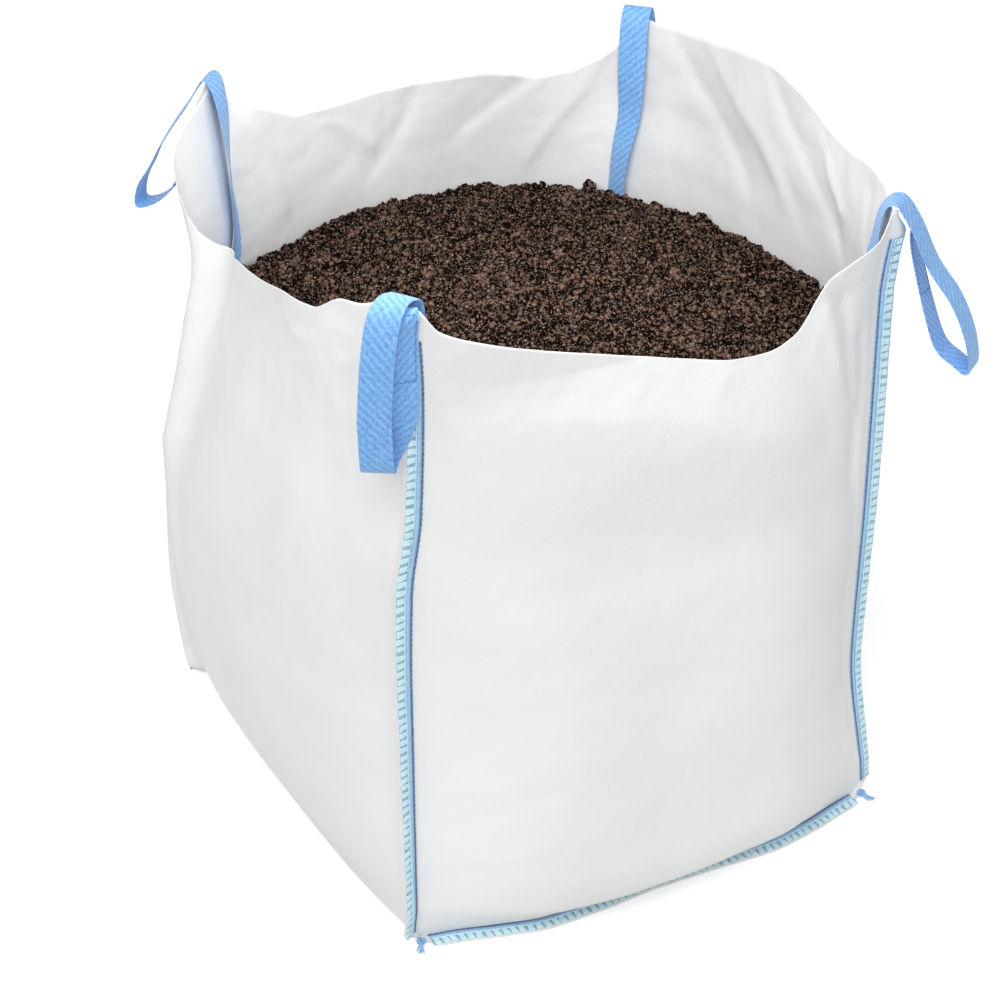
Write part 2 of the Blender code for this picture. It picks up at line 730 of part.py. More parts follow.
def build_overlock(name, stations):
    """The ladder of thread over a margin's edge: a spine with a rung at each stitch."""
    marks = []
    gap = (1 - RUNG_WIDTH / STITCH_PITCH) / 2
    for pair in zip(stations[:-1], stations[1:]):
        length = np.linalg.norm(pair[1][0] - pair[0][0])
        stitches = max(1, round(length / STITCH_PITCH))
        for n in range(stitches):
            for share, rung in ((n, False), (n + gap, True), (n + 1 - gap, False)):
                marks.append((*pair, share / stitches, rung))
    marks.append((*marks[-1][:2], 1.0, False))
    points = []
    faces = []
    for station, ahead, t, _ in marks:
        for reach, lift in (
            (OVERLOCK_START, 0.0),
            (OVERLOCK_START + OVERLOCK_SPINE, OVERLOCK_HEIGHT),
            (OVERLOCK_START + OVERLOCK_SPINE, 0.0),
        ):
            points.append(on_margin(station, ahead, t, reach, lift))
    for k in range(len(marks) - 1):
        a, b, c = 3 * k, 3 * k + 1, 3 * k + 2
        faces += [(a, a + 3, b + 3), (a, b + 3, b), (c, c + 3, a + 3), (c, a + 3, a)]
        if not marks[k][3]:
            faces += [(b, b + 3, c + 3), (b, c + 3, c)]
            continue
        tips = []
        for station, ahead, t, _ in marks[k:k + 2]:
            tips.append(len(points))
            points.append(on_margin(station, ahead, t, OVERLOCK_REACH, 0.0))
        d, e = tips
        faces += [(b, b + 3, e), (b, e, d), (c + 3, c, d), (c + 3, d, e)]
        faces += [(b, d, c), (b + 3, c + 3, e)]
    end = 3 * (len(marks) - 1)
    faces += [(0, 1, 2), (end, end + 2, end + 1)]
    add_object(name, points, faces, "overlock")
    outward(name)


def build_trims(wall, edge, ways):
    for run in ("left", "bottom", "right"):
        stations = trim_stations(edge, ways, run)
        prefix = f"{wall}_{run}"
        build_strip(
            f"{prefix}_chain_stitch", stations, CHAIN_START, CHAIN_WIDTH, CHAIN_HEIGHT, "thread"
        )
        build_strip(
            f"{prefix}_seam_tape", stations, TAPE_START, TAPE_WIDTH, TAPE_HEIGHT, "tape"
        )
        build_overlock(f"{prefix}_overlock", stations)


def curve_through(points, count):
    """Evenly spread points of a smooth curve through a few chosen ones."""
    points = np.array(points, float)
    fine = []
    padded = np.vstack([2 * points[0] - points[1], points, 2 * points[-1] - points[-2]])
    for k in range(1, len(padded) - 2):
        p, q, r, s = padded[k - 1:k + 3]
        for n in range(16):
            t = n / 16
            fine.append(
                0.5 * (2 * q + (r - p) * t + (2 * p - 5 * q + 4 * r - s) * t**2
                       + (3 * q - p - 3 * r + s) * t**3)
            )
    fine.append(points[-1])
    fine = np.array(fine)
    steps = np.linalg.norm(np.diff(fine[:, :3], axis=0), axis=1)
    travel = np.concatenate([[0], np.cumsum(steps)])
    marks = np.linspace(0, travel[-1], count)
    return np.array([[np.interp(m, travel, fine[:, c]) for c in range(fine.shape[1])] for m in marks])


def strap_route(corner):
    """Stations of a lift loop over its corner, with its inner leg fitted above the fill."""
    x, y = corner_at(corner, PEAK[corner])
    route = np.array(STRAP_ROUTES[corner], float)
    end_level = fill_level(x + route[0, 0], y + route[0, 1]) + STRAP_END_CLEAR[corner]
    inner = np.argmax(route[:, 2] >= 0)
    route[:inner, 2] *= (PEAK[corner] - end_level) / -route[0, 2]
    route[:, :3] += (x, y, PEAK[corner])
    return route


def strap_rings(corner):
    """Sections of a lift loop along its route."""
    route = curve_through(strap_route(corner), STRAP_STATIONS)
    centres = route[:, :3]
    rings = []
    for k, centre in enumerate(centres):
        ahead = centres[min(k + 1, len(centres) - 1)] - centres[max(k - 1, 0)]
        ahead /= np.linalg.norm(ahead)
        bearing = math.radians(route[k, 3])
        across = np.array([math.cos(bearing), math.sin(bearing), 0])
        across -= ahead * (across @ ahead)
        across /= np.linalg.norm(across)
        face = np.cross(ahead, across)
        w, t = across * STRAP_WIDTH / 2, face * STRAP_THICKNESS / 2
        rings.append([centre - w - t, centre + w - t, centre + w + t, centre - w + t])
    return rings


def build_knot(name, corner, at, tail_way):
    """A small knot of thread beyond a bottom corner of the margins, with a short tail."""
    side_x, side_y = CORNERS[corner]
    x, y, _ = at
    start = np.array([x + side_x * KNOT_OUT, y + side_y * KNOT_AHEAD, KNOT_RADIUS + 2 * CLEAR])
    way = np.array(tail_way, float)
    way /= np.linalg.norm(way)
    length = 2 * KNOT_RADIUS + KNOT_TAIL
    rings = []
    for t in np.linspace(0, 1, 11):
        along = t * length
        if along < 2 * KNOT_RADIUS:
            round_part = math.sqrt(max(0.0, 1 - (along / KNOT_RADIUS - 1) ** 2))
            radius = max(KNOT_TAIL_RADIUS, KNOT_RADIUS * round_part)
        else:
            radius = KNOT_TAIL_RADIUS * (1.15 - 0.5 * t)
        centre = start + way * along
        centre[2] = start[2] - (KNOT_RADIUS - KNOT_TAIL_RADIUS) * t
        side = np.cross(way, (0, 0, 1.0))
        rings.append([
            centre + side * radius * math.cos(a) + np.array([0, 0, radius * math.sin(a)])
            for a in np.linspace(0, 2 * math.pi, 8, endpoint=False)
        ])
    add_sweep(name, rings, "tape")
    outward(name)


def main():
    for obj in list(bpy.data.objects):
        bpy.data.objects.remove(obj, do_unlink=True)
    stations, seams, side_inner = build_u_panel()
    inner = {}
    edges = {}
    for wall in ("front", "back"):
        edges[wall], ways, inner[wall] = build_end_panel(wall, seams[wall])
        build_trims(wall, edges[wall], ways)
    build_compost(inner["front"], inner["back"], side_inner, seams)
    for corner in CORNERS:
        add_sweep(f"lift_loop_{corner}", strap_rings(corner), "webbing")
        outward(f"lift_loop_{corner}")
    left_corner, right_corner = edges["front"][ROWS], edges["front"][-ROWS - 1]
    build_knot("thread_knot_front_left", "front_left", left_corner, (-0.5, -1.0, 0))
    build_knot("thread_knot_front_right", "front_right", right_corner, (0.5, -1.0, 0))


main()
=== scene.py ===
"""Looks of an open bulk bag of woven sheet, filled with compost.

An add-on with one operator for each kind of piece, run here as a script. Metres, +Z up,
in the same frame as the construction model: the front panel faces -Y.
"""
import math

import bmesh
import bpy
import numpy as np
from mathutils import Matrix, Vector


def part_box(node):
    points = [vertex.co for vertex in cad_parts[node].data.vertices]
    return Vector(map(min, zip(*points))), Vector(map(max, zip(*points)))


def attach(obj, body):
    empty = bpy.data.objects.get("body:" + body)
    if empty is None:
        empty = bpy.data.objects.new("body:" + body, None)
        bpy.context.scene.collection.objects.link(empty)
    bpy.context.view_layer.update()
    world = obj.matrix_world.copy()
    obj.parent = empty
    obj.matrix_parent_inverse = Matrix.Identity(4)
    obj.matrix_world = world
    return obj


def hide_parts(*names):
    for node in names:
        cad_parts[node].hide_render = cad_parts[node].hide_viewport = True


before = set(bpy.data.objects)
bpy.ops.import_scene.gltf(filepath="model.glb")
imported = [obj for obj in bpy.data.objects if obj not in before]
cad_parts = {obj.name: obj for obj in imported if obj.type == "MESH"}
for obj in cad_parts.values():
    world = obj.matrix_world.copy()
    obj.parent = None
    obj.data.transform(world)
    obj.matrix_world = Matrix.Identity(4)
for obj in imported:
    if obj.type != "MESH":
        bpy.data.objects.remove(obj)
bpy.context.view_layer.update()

bl_info = {
    "name": "Filled bulk bag",
    "version": (1, 0, 0),
    "blender": (4, 5, 0),
    "location": "3D View > Sidebar > Bulk Bag",
    "description": "Builds the sheets, seams, loops and fill of an open bulk bag",
    "category": "Object",
}

# Bag, as the construction model has it: base, folds at its foot, and thickness of sheet
BASE_SIDE = 0.850
HALF = BASE_SIDE / 2
FOLD_RADIUS = 0.024
FABRIC = 0.0012
BASE_LEVEL = FABRIC / 2
# From the middle of one sheet to the middle of the one sewn on it
LAYER = FABRIC + 0.0006
# How square the swell of a wall is across, and how high its foot's shape fades out
BULGE_POWER = 3.2
BACK_EASE = 1.4
LOW_FADE = 0.07
BOW_FADE = 0.66

# Margins beyond the sewing line, and where the rows of points over one lie
MARGIN = 0.031
FOLDED_MARGIN = 0.0328
MARGIN_ROWS = np.array([1.0, 0.66, 0.33, 0.08])

# The seam: where its runs stop, how high it rests on the margin, and how far out from the
# edge of the wall each thread and tape lies
RUNS = ("left", "bottom", "right")
RIM_GAP = 0.046
CORNER_GAP = 0.016
SEAM_REST = FABRIC / 2 + 0.0003
NEEDLE_REACH = 0.0026
CHAIN_REACH = 0.0052
TAPE_REACH = 0.0104
TAPE_HALF_WIDTH = 0.0037
LADDER_NEAR = 0.0148
LADDER_FAR = 0.0302
# One rung of the ladder, out over the margin and round its edge: share of the way out,
# and height in thread thicknesses, where below 0 is on the way to the far side
RUNG_OUT = np.array([0.0, 0.03, 0.18, 0.40, 0.62, 0.82, 0.95, 1.02, 1.035, 1.0])
RUNG_LIFT = np.array([0.0, 0.8, 1.0, 1.0, 0.95, 0.85, 0.6, -0.2, -1.5, -2.2])
# Each thread's colour among the seam's settings, and the length of one twist of it
THREADS = {
    "navy thread": ("navy", 0.0012),
    "sky thread": ("sky", 0.0012),
    "pale seam tape": ("tape", 0.0022),
    "pale overlock thread": ("ladder", 0.0012),
    # The teal bed colour is partly the under-thread and partly painted shade in the gaps between
    # the rungs.
    "teal overlock bed and painted shade": ("bed_and_painted_shade", 0.0012),
}

# Rings of points along each loop, and where its stitches lie, measured from its outer end
LOOP_STATIONS = 190
STITCHES_FROM = 0.115
STITCHES_TO = 0.012

# The fill's middle, how far it drops to the sides, and how its body narrows below: level
# down the wall, and how far it stays inside the sheet
FILL_HEIGHT = 0.912
FILL_CROWN_X = 0.064
FILL_CROWN_Y = 0.085
FILL_CENTRE_Y = -0.20
FILL_INSET = 0.0042
FILL_BODY = (
    (0.98, 0.0065), (0.93, 0.014), (0.75, 0.016), (0.55, 0.016), (0.35, 0.016),
    (0.15, 0.020), (0.04, 0.030), (0.0, 0.034),
)

# The camera: its place, and the degrees that it looks down and is turned
CAMERA_PLACE = (-2.0299, -3.7716, 3.103)
CAMERA_DOWN = 31.5
CAMERA_TURN = -27.7107
# Half the side of the floor
FLOOR_REACH = 9.0

UP = np.array([0.0, 0.0, 1.0])

# The side of each corner in x and y
CORNERS = {
    "front_left": (-1, -1),
    "front_right": (1, -1),
    "back_right": (1, 1),
    "back_left": (-1, 1),
}
# Height of the rim at each corner
PEAK = {"front_left": 1.132, "front_right": 1.098, "back_right": 1.094, "back_left": 1.143}

# How far each corner's seam stands off the square, as (height, shift in x, shift in y)
SEAM_SHIFT = {
    "front_left": (
        (0.00, 0.004, 0.0), (0.50, 0.004, 0.0), (0.66, 0.008, 0.0),
        (0.80, 0.026, 0.0), (1.00, 0.032, 0.0), (1.14, 0.026, 0.0),
    ),
    "front_right": (
        (0.00, 0.002, 0.0), (0.11, -0.018, 0.006), (0.30, -0.040, 0.014),
        (0.60, -0.035, 0.015), (0.95, -0.036, 0.015), (1.10, -0.016, 0.015),
    ),
    "back_right": (
        (0.00, 0.000, 0.0), (0.40, -0.012, 0.015), (0.75, -0.017, 0.025),
        (0.86, -0.003, 0.025), (0.95, 0.020, 0.025), (1.10, 0.034, 0.025),
    ),
    "back_left": (
        (0.00, 0.000, 0.0), (0.25, -0.020, 0.010), (0.48, -0.014, 0.010),
        (0.70, 0.050, 0.006), (0.88, 0.098, 0.005), (1.14, 0.074, 0.005),
    ),
}
# Each wall's first and last corner, and the way it faces
WALLS = {
    "front": ("front_left", "front_right", (0, -1)),
    "back": ("back_left", "back_right", (0, 1)),
    "left": ("front_left", "back_left", (-1, 0)),
    "right": ("front_right", "back_right", (1, 0)),
}
# How far each wall swells out at each height
SWELL = {
    "front": (
        (0.0, 0.0), (0.024, 0.022), (0.07, 0.066), (0.15, 0.098), (0.40, 0.122),
        (0.80, 0.095), (1.0, 0.055),
    ),
    "back": (
        (0.0, 0.0), (0.024, 0.020), (0.07, 0.060), (0.15, 0.095), (0.40, 0.110),
        (0.80, 0.080), (1.1, 0.050),
    ),
    "left": ((0.0, 0.012), (0.10, 0.055), (0.40, 0.088), (0.80, 0.075), (1.1, 0.045)),
    "right": ((0.0, 0.012), (0.10, 0.055), (0.40, 0.092), (0.80, 0.085), (1.1, 0.060)),
}
# How far the seam at the foot of the front and back bows out, at shares along it
BOTTOM_SEAM = (
    (0.0, -0.014), (0.08, 0.000), (0.16, 0.020), (0.25, 0.036), (0.36, 0.034),
    (0.48, 0.027), (0.60, 0.028), (0.73, 0.033), (0.85, 0.018), (0.93, 0.000),
    (1.0, -0.014),
)
# Degrees that each corner's margin leans towards the front or back, at each height
MARGIN_LEAN = {
    "front_left": ((0.0, 34.0), (0.70, 0.0)),
    "front_right": ((0.0, -26.0), (0.70, 0.0)),
    "back_left": ((0.0, 0.0), (1.0, 0.0)),
    "back_right": ((0.0, 0.0), (1.0, 0.0)),
}
# Height of each wall's rim, at shares along it
RIM = {
    "front": (
        (0.03, 1.097), (0.10, 1.074), (0.20, 1.050), (0.33, 1.021), (0.50, 0.982),
        (0.62, 0.958), (0.70, 0.953), (0.76, 0.963), (0.80, 0.990), (0.83, 1.030),
        (0.90, 1.046), (0.97, 1.058),
    ),
    "back": (
        (0.04, 1.096), (0.11, 1.067), (0.20, 1.032), (0.28, 1.029), (0.40, 1.031),
        (0.52, 1.027), (0.65, 1.019), (0.73, 1.004), (0.80, 0.989), (0.87, 0.994),
        (0.91, 1.008), (0.97, 1.038),
    ),
    "left": (
        (0.05, 1.128), (0.09, 1.118), (0.17, 1.083), (0.25, 1.060), (0.36, 1.003),
        (0.52, 0.967), (0.61, 0.946), (0.76, 0.919), (0.87, 0.905), (0.90, 0.925),
        (0.94, 1.060), (0.97, 1.110),
    ),
    "right": (
        (0.04, 1.100), (0.08, 1.107), (0.16, 1.106), (0.25, 1.096), (0.34, 1.100),
        (0.40, 1.113), (0.48, 1.129), (0.57, 1.132), (0.71, 1.115), (0.83, 1.099),
        (0.89, 1.093), (0.96, 1.092),
    ),
}
# A swelling beside the left wall's back corner, and one over the front wall's foot
LOBE = {"depth": 0.085, "centre": 0.925, "spread": 0.050}
LOBE_HEIGHTS = ((0.05, 0.0), (0.45, 0.30), (0.75, 0.75), (0.95, 1.0), (1.14, 1.25))
OVERHANG = {"depth": 0.022, "centre": 0.48, "spread": 0.20}
OVERHANG_HEIGHTS = ((0.024, 0.0), (0.07, 1.0), (0.15, 0.8), (0.40, 0.0))

# Each loop's centre line, as shifts from the peak of its corner, with the bearing of its
# width in degrees from +X
STRAP_ROUTES = {
    "front_left": (
        (0.012, 0.034, -0.262, 90), (0.011, 0.036, -0.150, 93), (0.010, 0.040, -0.070, 100),
        (0.009, 0.042, -0.020, 108), (0.002, 0.040, 0.003, 120),
        (-0.012, 0.034, 0.011, 130), (-0.030, 0.024, 0.0135, 137),
        (-0.046, 0.008, 0.011, 141),
        (-0.060, -0.002, -0.008, 143), (-0.072, -0.010, -0.052, 144),
        (-0.078, -0.013, -0.100, 145), (-0.081, -0.0135, -0.155, 146),
        (-0.079, -0.012, -0.208, 147), (-0.074, -0.004, -0.2375, 148),
        (-0.066, 0.007, -0.245, 148), (-0.058, 0.0125, -0.230, 148),
        (-0.048, 0.005, -0.202, 152), (-0.040, -0.006, -0.172, 162),
        (-0.035, -0.0085, -0.135, 174),
        (-0.032, -0.0072, -0.040, 180), (-0.031, -0.0068, -0.012, 176),
        (-0.029, -0.001, 0.000, 164), (-0.026, 0.010, 0.004, 150),
    ),
    "front_right": (
        (-0.0195, 0.0286, -0.226, 90), (-0.0175, 0.0286, -0.140, 85),
        (-0.010, 0.026, -0.060, 66),
        (-0.006, 0.024, -0.018, 60), (0.002, 0.020, 0.004, 50), (0.014, 0.014, 0.010, 40),
        (0.026, 0.006, 0.003, 36), (0.041, -0.013, -0.031, 36), (0.058, -0.036, -0.086, 36),
        (0.079, -0.065, -0.130, 36), (0.092, -0.083, -0.168, 36),
        (0.101, -0.094, -0.209, 36), (0.102, -0.098, -0.250, 36),
        (0.087, -0.076, -0.239, 36), (0.071, -0.052, -0.218, 36),
        (0.062, -0.028, -0.165, 38), (0.057, -0.004, -0.110, 41),
        (0.055, 0.014, -0.066, 43), (0.053, 0.015, -0.034, 43),
    ),
    "back_right": (
        (-0.0484, -0.0226, -0.292, 92), (-0.0412, -0.0228, -0.240, 97),
        (-0.0256, -0.0203, -0.180, 108), (-0.024, -0.022, -0.110, 124),
        (-0.020, -0.019, -0.050, 134), (-0.014, -0.014, -0.006, 135),
        (-0.003, -0.003, 0.013, 135), (0.010, 0.010, 0.008, 135),
        (0.024, 0.024, -0.030, 135), (0.046, 0.046, -0.090, 135),
        (0.068, 0.068, -0.160, 135), (0.074, 0.074, -0.215, 135),
        (0.058, 0.058, -0.240, 135), (0.034, 0.034, -0.200, 135),
        (0.026, 0.026, -0.130, 135), (0.026, 0.026, -0.060, 135),
    ),
    "back_left": (
        (0.0195, -0.0252, -0.300, 80), (0.0205, -0.0252, -0.240, 78),
        (0.0155, -0.0262, -0.180, 72),
        (0.011, -0.031, -0.110, 64), (0.008, -0.026, -0.050, 52), (0.003, -0.012, -0.003, 45),
        (-0.006, 0.004, 0.006, 47), (-0.018, 0.018, -0.017, 51),
        (-0.029, 0.029, -0.042, 54), (-0.048, 0.048, -0.081, 55),
        (-0.068, 0.068, -0.126, 55), (-0.080, 0.080, -0.161, 51),
        (-0.095, 0.095, -0.200, 45), (-0.097, 0.097, -0.235, 45),
        (-0.073, 0.073, -0.224, 45), (-0.050, 0.050, -0.191, 45),
        (-0.033, 0.033, -0.140, 45), (-0.027, 0.027, -0.080, 45),
    ),
}
# How much further the inner end of each loop goes, down into the fill
INNER_END_DROP = {
    "front_left": 0.05, "front_right": 0.05, "back_right": 0.065, "back_left": 0.075,
}

# Soft folds in each wall: start and end as (metres along from its middle, height), then
# width, and depth outward
FOLDS = {
    "front": (
        ((-0.30, 0.93), (0.18, 0.83), 0.055, 0.0050),
        ((-0.36, 0.73), (0.25, 0.68), 0.060, -0.0040),
        ((-0.25, 0.60), (0.32, 0.55), 0.070, 0.0035),
        ((-0.30, 0.45), (0.20, 0.44), 0.060, -0.0030),
        ((0.28, 1.02), (0.355, 0.80), 0.016, 0.0062),
        ((0.335, 0.98), (0.385, 0.66), 0.014, -0.0066),
        ((0.385, 0.90), (0.39, 0.30), 0.020, -0.0060),
        ((0.23, 0.93), (0.30, 0.78), 0.020, -0.0035),
        ((-0.40, 0.98), (-0.33, 0.76), 0.020, 0.0035),
        ((-0.41, 0.30), (-0.25, 0.36), 0.010, 0.0020),
        ((-0.41, 0.24), (-0.22, 0.33), 0.008, -0.0018),
        ((-0.40, 0.17), (-0.24, 0.21), 0.009, 0.0018),
        ((0.38, 0.20), (0.22, 0.27), 0.012, 0.0022),
        ((0.38, 0.14), (0.26, 0.15), 0.010, -0.0020),
    ),
    "left": (
        ((-0.38, 0.83), (-0.12, 0.60), 0.035, 0.0050),
        ((0.05, 0.92), (0.32, 0.62), 0.045, -0.0060),
        ((-0.41, 0.80), (-0.405, 0.45), 0.008, -0.0030),
        ((-0.385, 0.80), (-0.38, 0.50), 0.008, 0.0025),
        ((0.24, 0.93), (0.36, 0.55), 0.018, 0.0050),
        ((0.33, 0.98), (0.40, 0.45), 0.020, -0.0050),
        ((-0.30, 0.40), (0.10, 0.30), 0.050, 0.0040),
    ),
    "back": (
        ((-0.24, 1.03), (-0.15, 0.93), 0.018, 0.0036),
        ((-0.20, 1.00), (-0.10, 0.94), 0.014, -0.0032),
        ((0.33, 1.06), (0.12, 0.92), 0.024, 0.0046),
        ((0.38, 1.05), (0.28, 0.84), 0.022, -0.0046),
        ((0.00, 1.03), (-0.08, 0.90), 0.026, 0.0040),
        ((-0.36, 1.05), (-0.30, 0.88), 0.018, -0.0040),
        ((-0.30, 0.60), (0.25, 0.50), 0.060, 0.0050),
        ((-0.25, 0.35), (0.30, 0.28), 0.060, -0.0040),
    ),
    "right": (
        ((0.34, 1.08), (0.12, 0.90), 0.024, 0.0048),
        ((0.24, 1.09), (0.00, 0.93), 0.022, -0.0048),
        ((0.06, 1.12), (-0.18, 0.94), 0.026, 0.0046),
        ((-0.14, 1.05), (-0.20, 0.99), 0.012, -0.0050),
        ((-0.30, 1.06), (-0.36, 0.86), 0.016, 0.0040),
        ((-0.20, 0.60), (0.30, 0.52), 0.060, 0.0050),
    ),
}
# The sheets hang looser above this height
TOP_WALL = 0.86

# Rows of the sheets from rim to fill to fold, round the fold, and across the base
SIDE_LEVELS = np.concatenate([np.linspace(2, 1, 48), np.linspace(1, 0, 84)[1:]])
TURN = np.linspace(0, 1, 9)[1:]
BASE_ACROSS = np.linspace(0, 1, 96)[1:-1]
SHARES = np.linspace(0, 1, 91)


def read_curve(points, at):
    """Read a smooth curve through (place, value) points, for an array of places."""
    table = np.array(points, float)
    places, values = table[:, 0], table[:, 1]
    slopes = np.diff(values) / np.diff(places)
    tangents = np.concatenate([slopes[:1], np.zeros(len(slopes) - 1), slopes[-1:]])
    product = slopes[:-1] * slopes[1:]
    same = np.flatnonzero(product > 0)
    tangents[same + 1] = 2 * product[same] / (slopes[same] + slopes[same + 1])
    at = np.clip(at, places[0], places[-1])
    k = np.clip(np.searchsorted(places, at, side="right") - 1, 0, len(places) - 2)
    span = places[k + 1] - places[k]
    t = (at - places[k]) / span
    return (
        (2 * t**3 - 3 * t**2 + 1) * values[k] + (t**3 - 2 * t**2 + t) * tangents[k] * span
        + (3 * t**2 - 2 * t**3) * values[k + 1] + (t**3 - t**2) * tangents[k + 1] * span
    )


def ease(t):
    """Go from 0 to 1 with a soft start and a soft end."""
    t = np.clip(t, 0, 1)
    return t * t * (3 - 2 * t)


def grain(x, y, seed=0):
    """Smooth gradient noise between about -1 and 1, the same on every run."""
    x, y = np.broadcast_arrays(np.asarray(x, float), np.asarray(y, float))
    cell_x, cell_y = np.floor(x).astype(np.int64), np.floor(y).astype(np.int64)
    total = np.zeros(x.shape)
    for step_x in (0, 1):
        for step_y in (0, 1):
            mixed = (cell_x + step_x) * 374761393 + (cell_y + step_y) * 668265263
            mixed = (mixed + seed * 974634777) & 0x7FFFFFFF
            mixed = ((mixed ^ (mixed >> 13)) * 1274126177) & 0x7FFFFFFF
            angle = (mixed ^ (mixed >> 16)) % 4096 / 4096 * 2 * math.pi
            off_x, off_y = x - cell_x - step_x, y - cell_y - step_y
            fade = ease(1 - abs(off_x)) * ease(1 - abs(off_y))
            total += fade * (np.cos(angle) * off_x + np.sin(angle) * off_y)
    return total * 1.5


def layered(x, y, octaves, seed=0):
    """Several sizes of noise on top of one another."""
    total = 0
    for k in range(octaves):
        total = total + grain(x * 2**k, y * 2**k, seed + k) / 2**k
    return total


def travelled(line):
    """Distance along a line of points, at each of them."""
    return np.concatenate([[0], np.cumsum(np.linalg.norm(np.diff(line, axis=0), axis=1))])


def wall_facing(wall):
    """The way a wall faces, as a direction of length 1."""
    return np.array(WALLS[wall][2] + (0,), float)


def corner_plan(corner, height):
    """Plan position of a corner seam at each height."""
    side_x, side_y = CORNERS[corner]
    shifts = np.array(SEAM_SHIFT[corner])
    tuck = -BOTTOM_SEAM[0][1] * np.maximum(0, 1 - height / LOW_FADE)
    x = side_x * HALF + read_curve(shifts[:, [0, 1]], height)
    y = side_y * (HALF - tuck) + read_curve(shifts[:, [0, 2]], height)
    return x, y


def wall_points(wall, share, height):
    """Points in the middle of a wall's sheet, before its folds."""
    first, last, facing = WALLS[wall]
    share, height = np.broadcast_arrays(np.asarray(share, float), np.asarray(height, float))
    x_first, y_first = corner_plan(first, height)
    x_last, y_last = corner_plan(last, height)
    x = x_first * (1 - share) + x_last * share
    y = y_first * (1 - share) + y_last * share
    eased = np.clip(share, 0, 1) ** BACK_EASE if wall == "back" else share
    out = read_curve(SWELL[wall], height) * (1 - abs(2 * eased - 1) ** BULGE_POWER)
    if wall in ("front", "back"):
        fade = np.maximum(0, 1 - height / BOW_FADE)
        out = out + (read_curve(BOTTOM_SEAM, share) - BOTTOM_SEAM[0][1]) * fade
    if wall == "left":
        lobe = np.exp(-(((share - LOBE["centre"]) / LOBE["spread"]) ** 2))
        lobe -= math.exp(-(((1 - LOBE["centre"]) / LOBE["spread"]) ** 2)) * share**8
        out = out + LOBE["depth"] * np.maximum(0, lobe) * read_curve(LOBE_HEIGHTS, height)
    if wall == "front":
        over = np.exp(-(((share - OVERHANG["centre"]) / OVERHANG["spread"]) ** 2))
        out = out + OVERHANG["depth"] * over * read_curve(OVERHANG_HEIGHTS, height)
    return np.stack([x + facing[0] * out, y + facing[1] * out, height], -1)


def fill_level(x, y):
    """Height of the compost before its lumps."""
    across = (x / HALF) ** 2
    along = abs((y - FILL_CENTRE_Y) / (HALF - FILL_CENTRE_Y)) ** 1.6
    return FILL_HEIGHT - FILL_CROWN_X * across - FILL_CROWN_Y * along


def wall_height(wall, share, level):
    """Height at a level of a wall: 0 is its foot, 1 the edge of the fill, 2 the rim."""
    first, last, _ = WALLS[wall]
    place = wall_points(wall, share, FILL_HEIGHT - FILL_CROWN_Y)
    edge = fill_level(place[..., 0], place[..., 1])
    rim = read_curve(((0.0, PEAK[first]),) + RIM[wall] + ((1.0, PEAK[last]),), share)
    low = FOLD_RADIUS + (edge - FOLD_RADIUS) * level
    return np.where(level <= 1, low, edge + (rim - edge) * (level - 1))


def ridge(a, b, start, end, width, depth):
    """A soft ridge along a line, rounder on one side, which dies away past its ends."""
    step_a, step_b = end[0] - start[0], end[1] - start[1]
    length = math.hypot(step_a, step_b)
    along = ((a - start[0]) * step_a + (b - start[1]) * step_b) / length
    off = ((a - start[0]) * step_b - (b - start[1]) * step_a) / length
    off = off + 0.35 * width * np.sin(along / (2.2 * width))
    past = np.maximum(np.maximum(-along, along - length), 0)
    side = np.where(off > 0, 1.5, 0.8) * width
    return depth * np.exp(-((past / (1.5 * width)) ** 2)) / (1 + (off / side) ** 2) ** 1.5


def fold_depth(wall, share, height):
    """How far the sheet stands out from its wall at each place, with folds and creases."""
    setting = bpy.context.scene.bag_sheet
    a = (share - 0.5) * BASE_SIDE
    b = height
    seed = {"front": 3, "left": 17, "back": 31, "right": 47}[wall]
    depth = 0.0
    for start, end, width, out in FOLDS[wall]:
        depth = depth + ridge(a, b, start, end, width, out)
    depth = depth * setting.fold_scale
    loose = 0.35 + 0.65 * ease((height - TOP_WALL) / 0.10)
    bend = layered(a * 4, b * 4, 2, seed + 5)
    sharp = 1 - abs(grain(a * 7 + bend, b * 6 + bend, seed)) * 2.2
    small = 1 - abs(grain(a * 17 + 2 * bend, b * 14 - bend, seed + 1)) * 2.0
    crumple = sharp + 0.35 * small
    depth = depth + setting.crease_depth * loose * (crumple - 0.5)
    depth = depth + setting.crease_depth * 1.3 * layered(a * 3.1, b * 2.6, 2, seed + 9)
    from_seam = np.minimum(share, 1 - share) * BASE_SIDE
    pull = grain(b * 42 + 0.6 * np.sin(a * 60), np.sign(a) * 3 + a * 5, seed + 3)
    pull = pull * np.exp(-from_seam / 0.045) * ease(from_seam / 0.012)
    depth = depth + setting.pucker_depth * pull
    if wall in ("front", "back"):
        gather = grain(a * 34 + 0.5 * np.sin(b * 50), b * 4, seed + 4)
        depth = depth + setting.pucker_depth * gather * np.exp(-height / 0.06)
    return depth * ease(from_seam / 0.035) * ease((height - 0.02) / 0.05)


def wall_surface(wall, share, height):
    """Points in the middle of a wall's sheet, with its folds."""
    share, height = np.broadcast_arrays(np.asarray(share, float), np.asarray(height, float))
    depth = fold_depth(wall, share, height)[..., None]
    return wall_points(wall, share, height) + wall_facing(wall) * depth


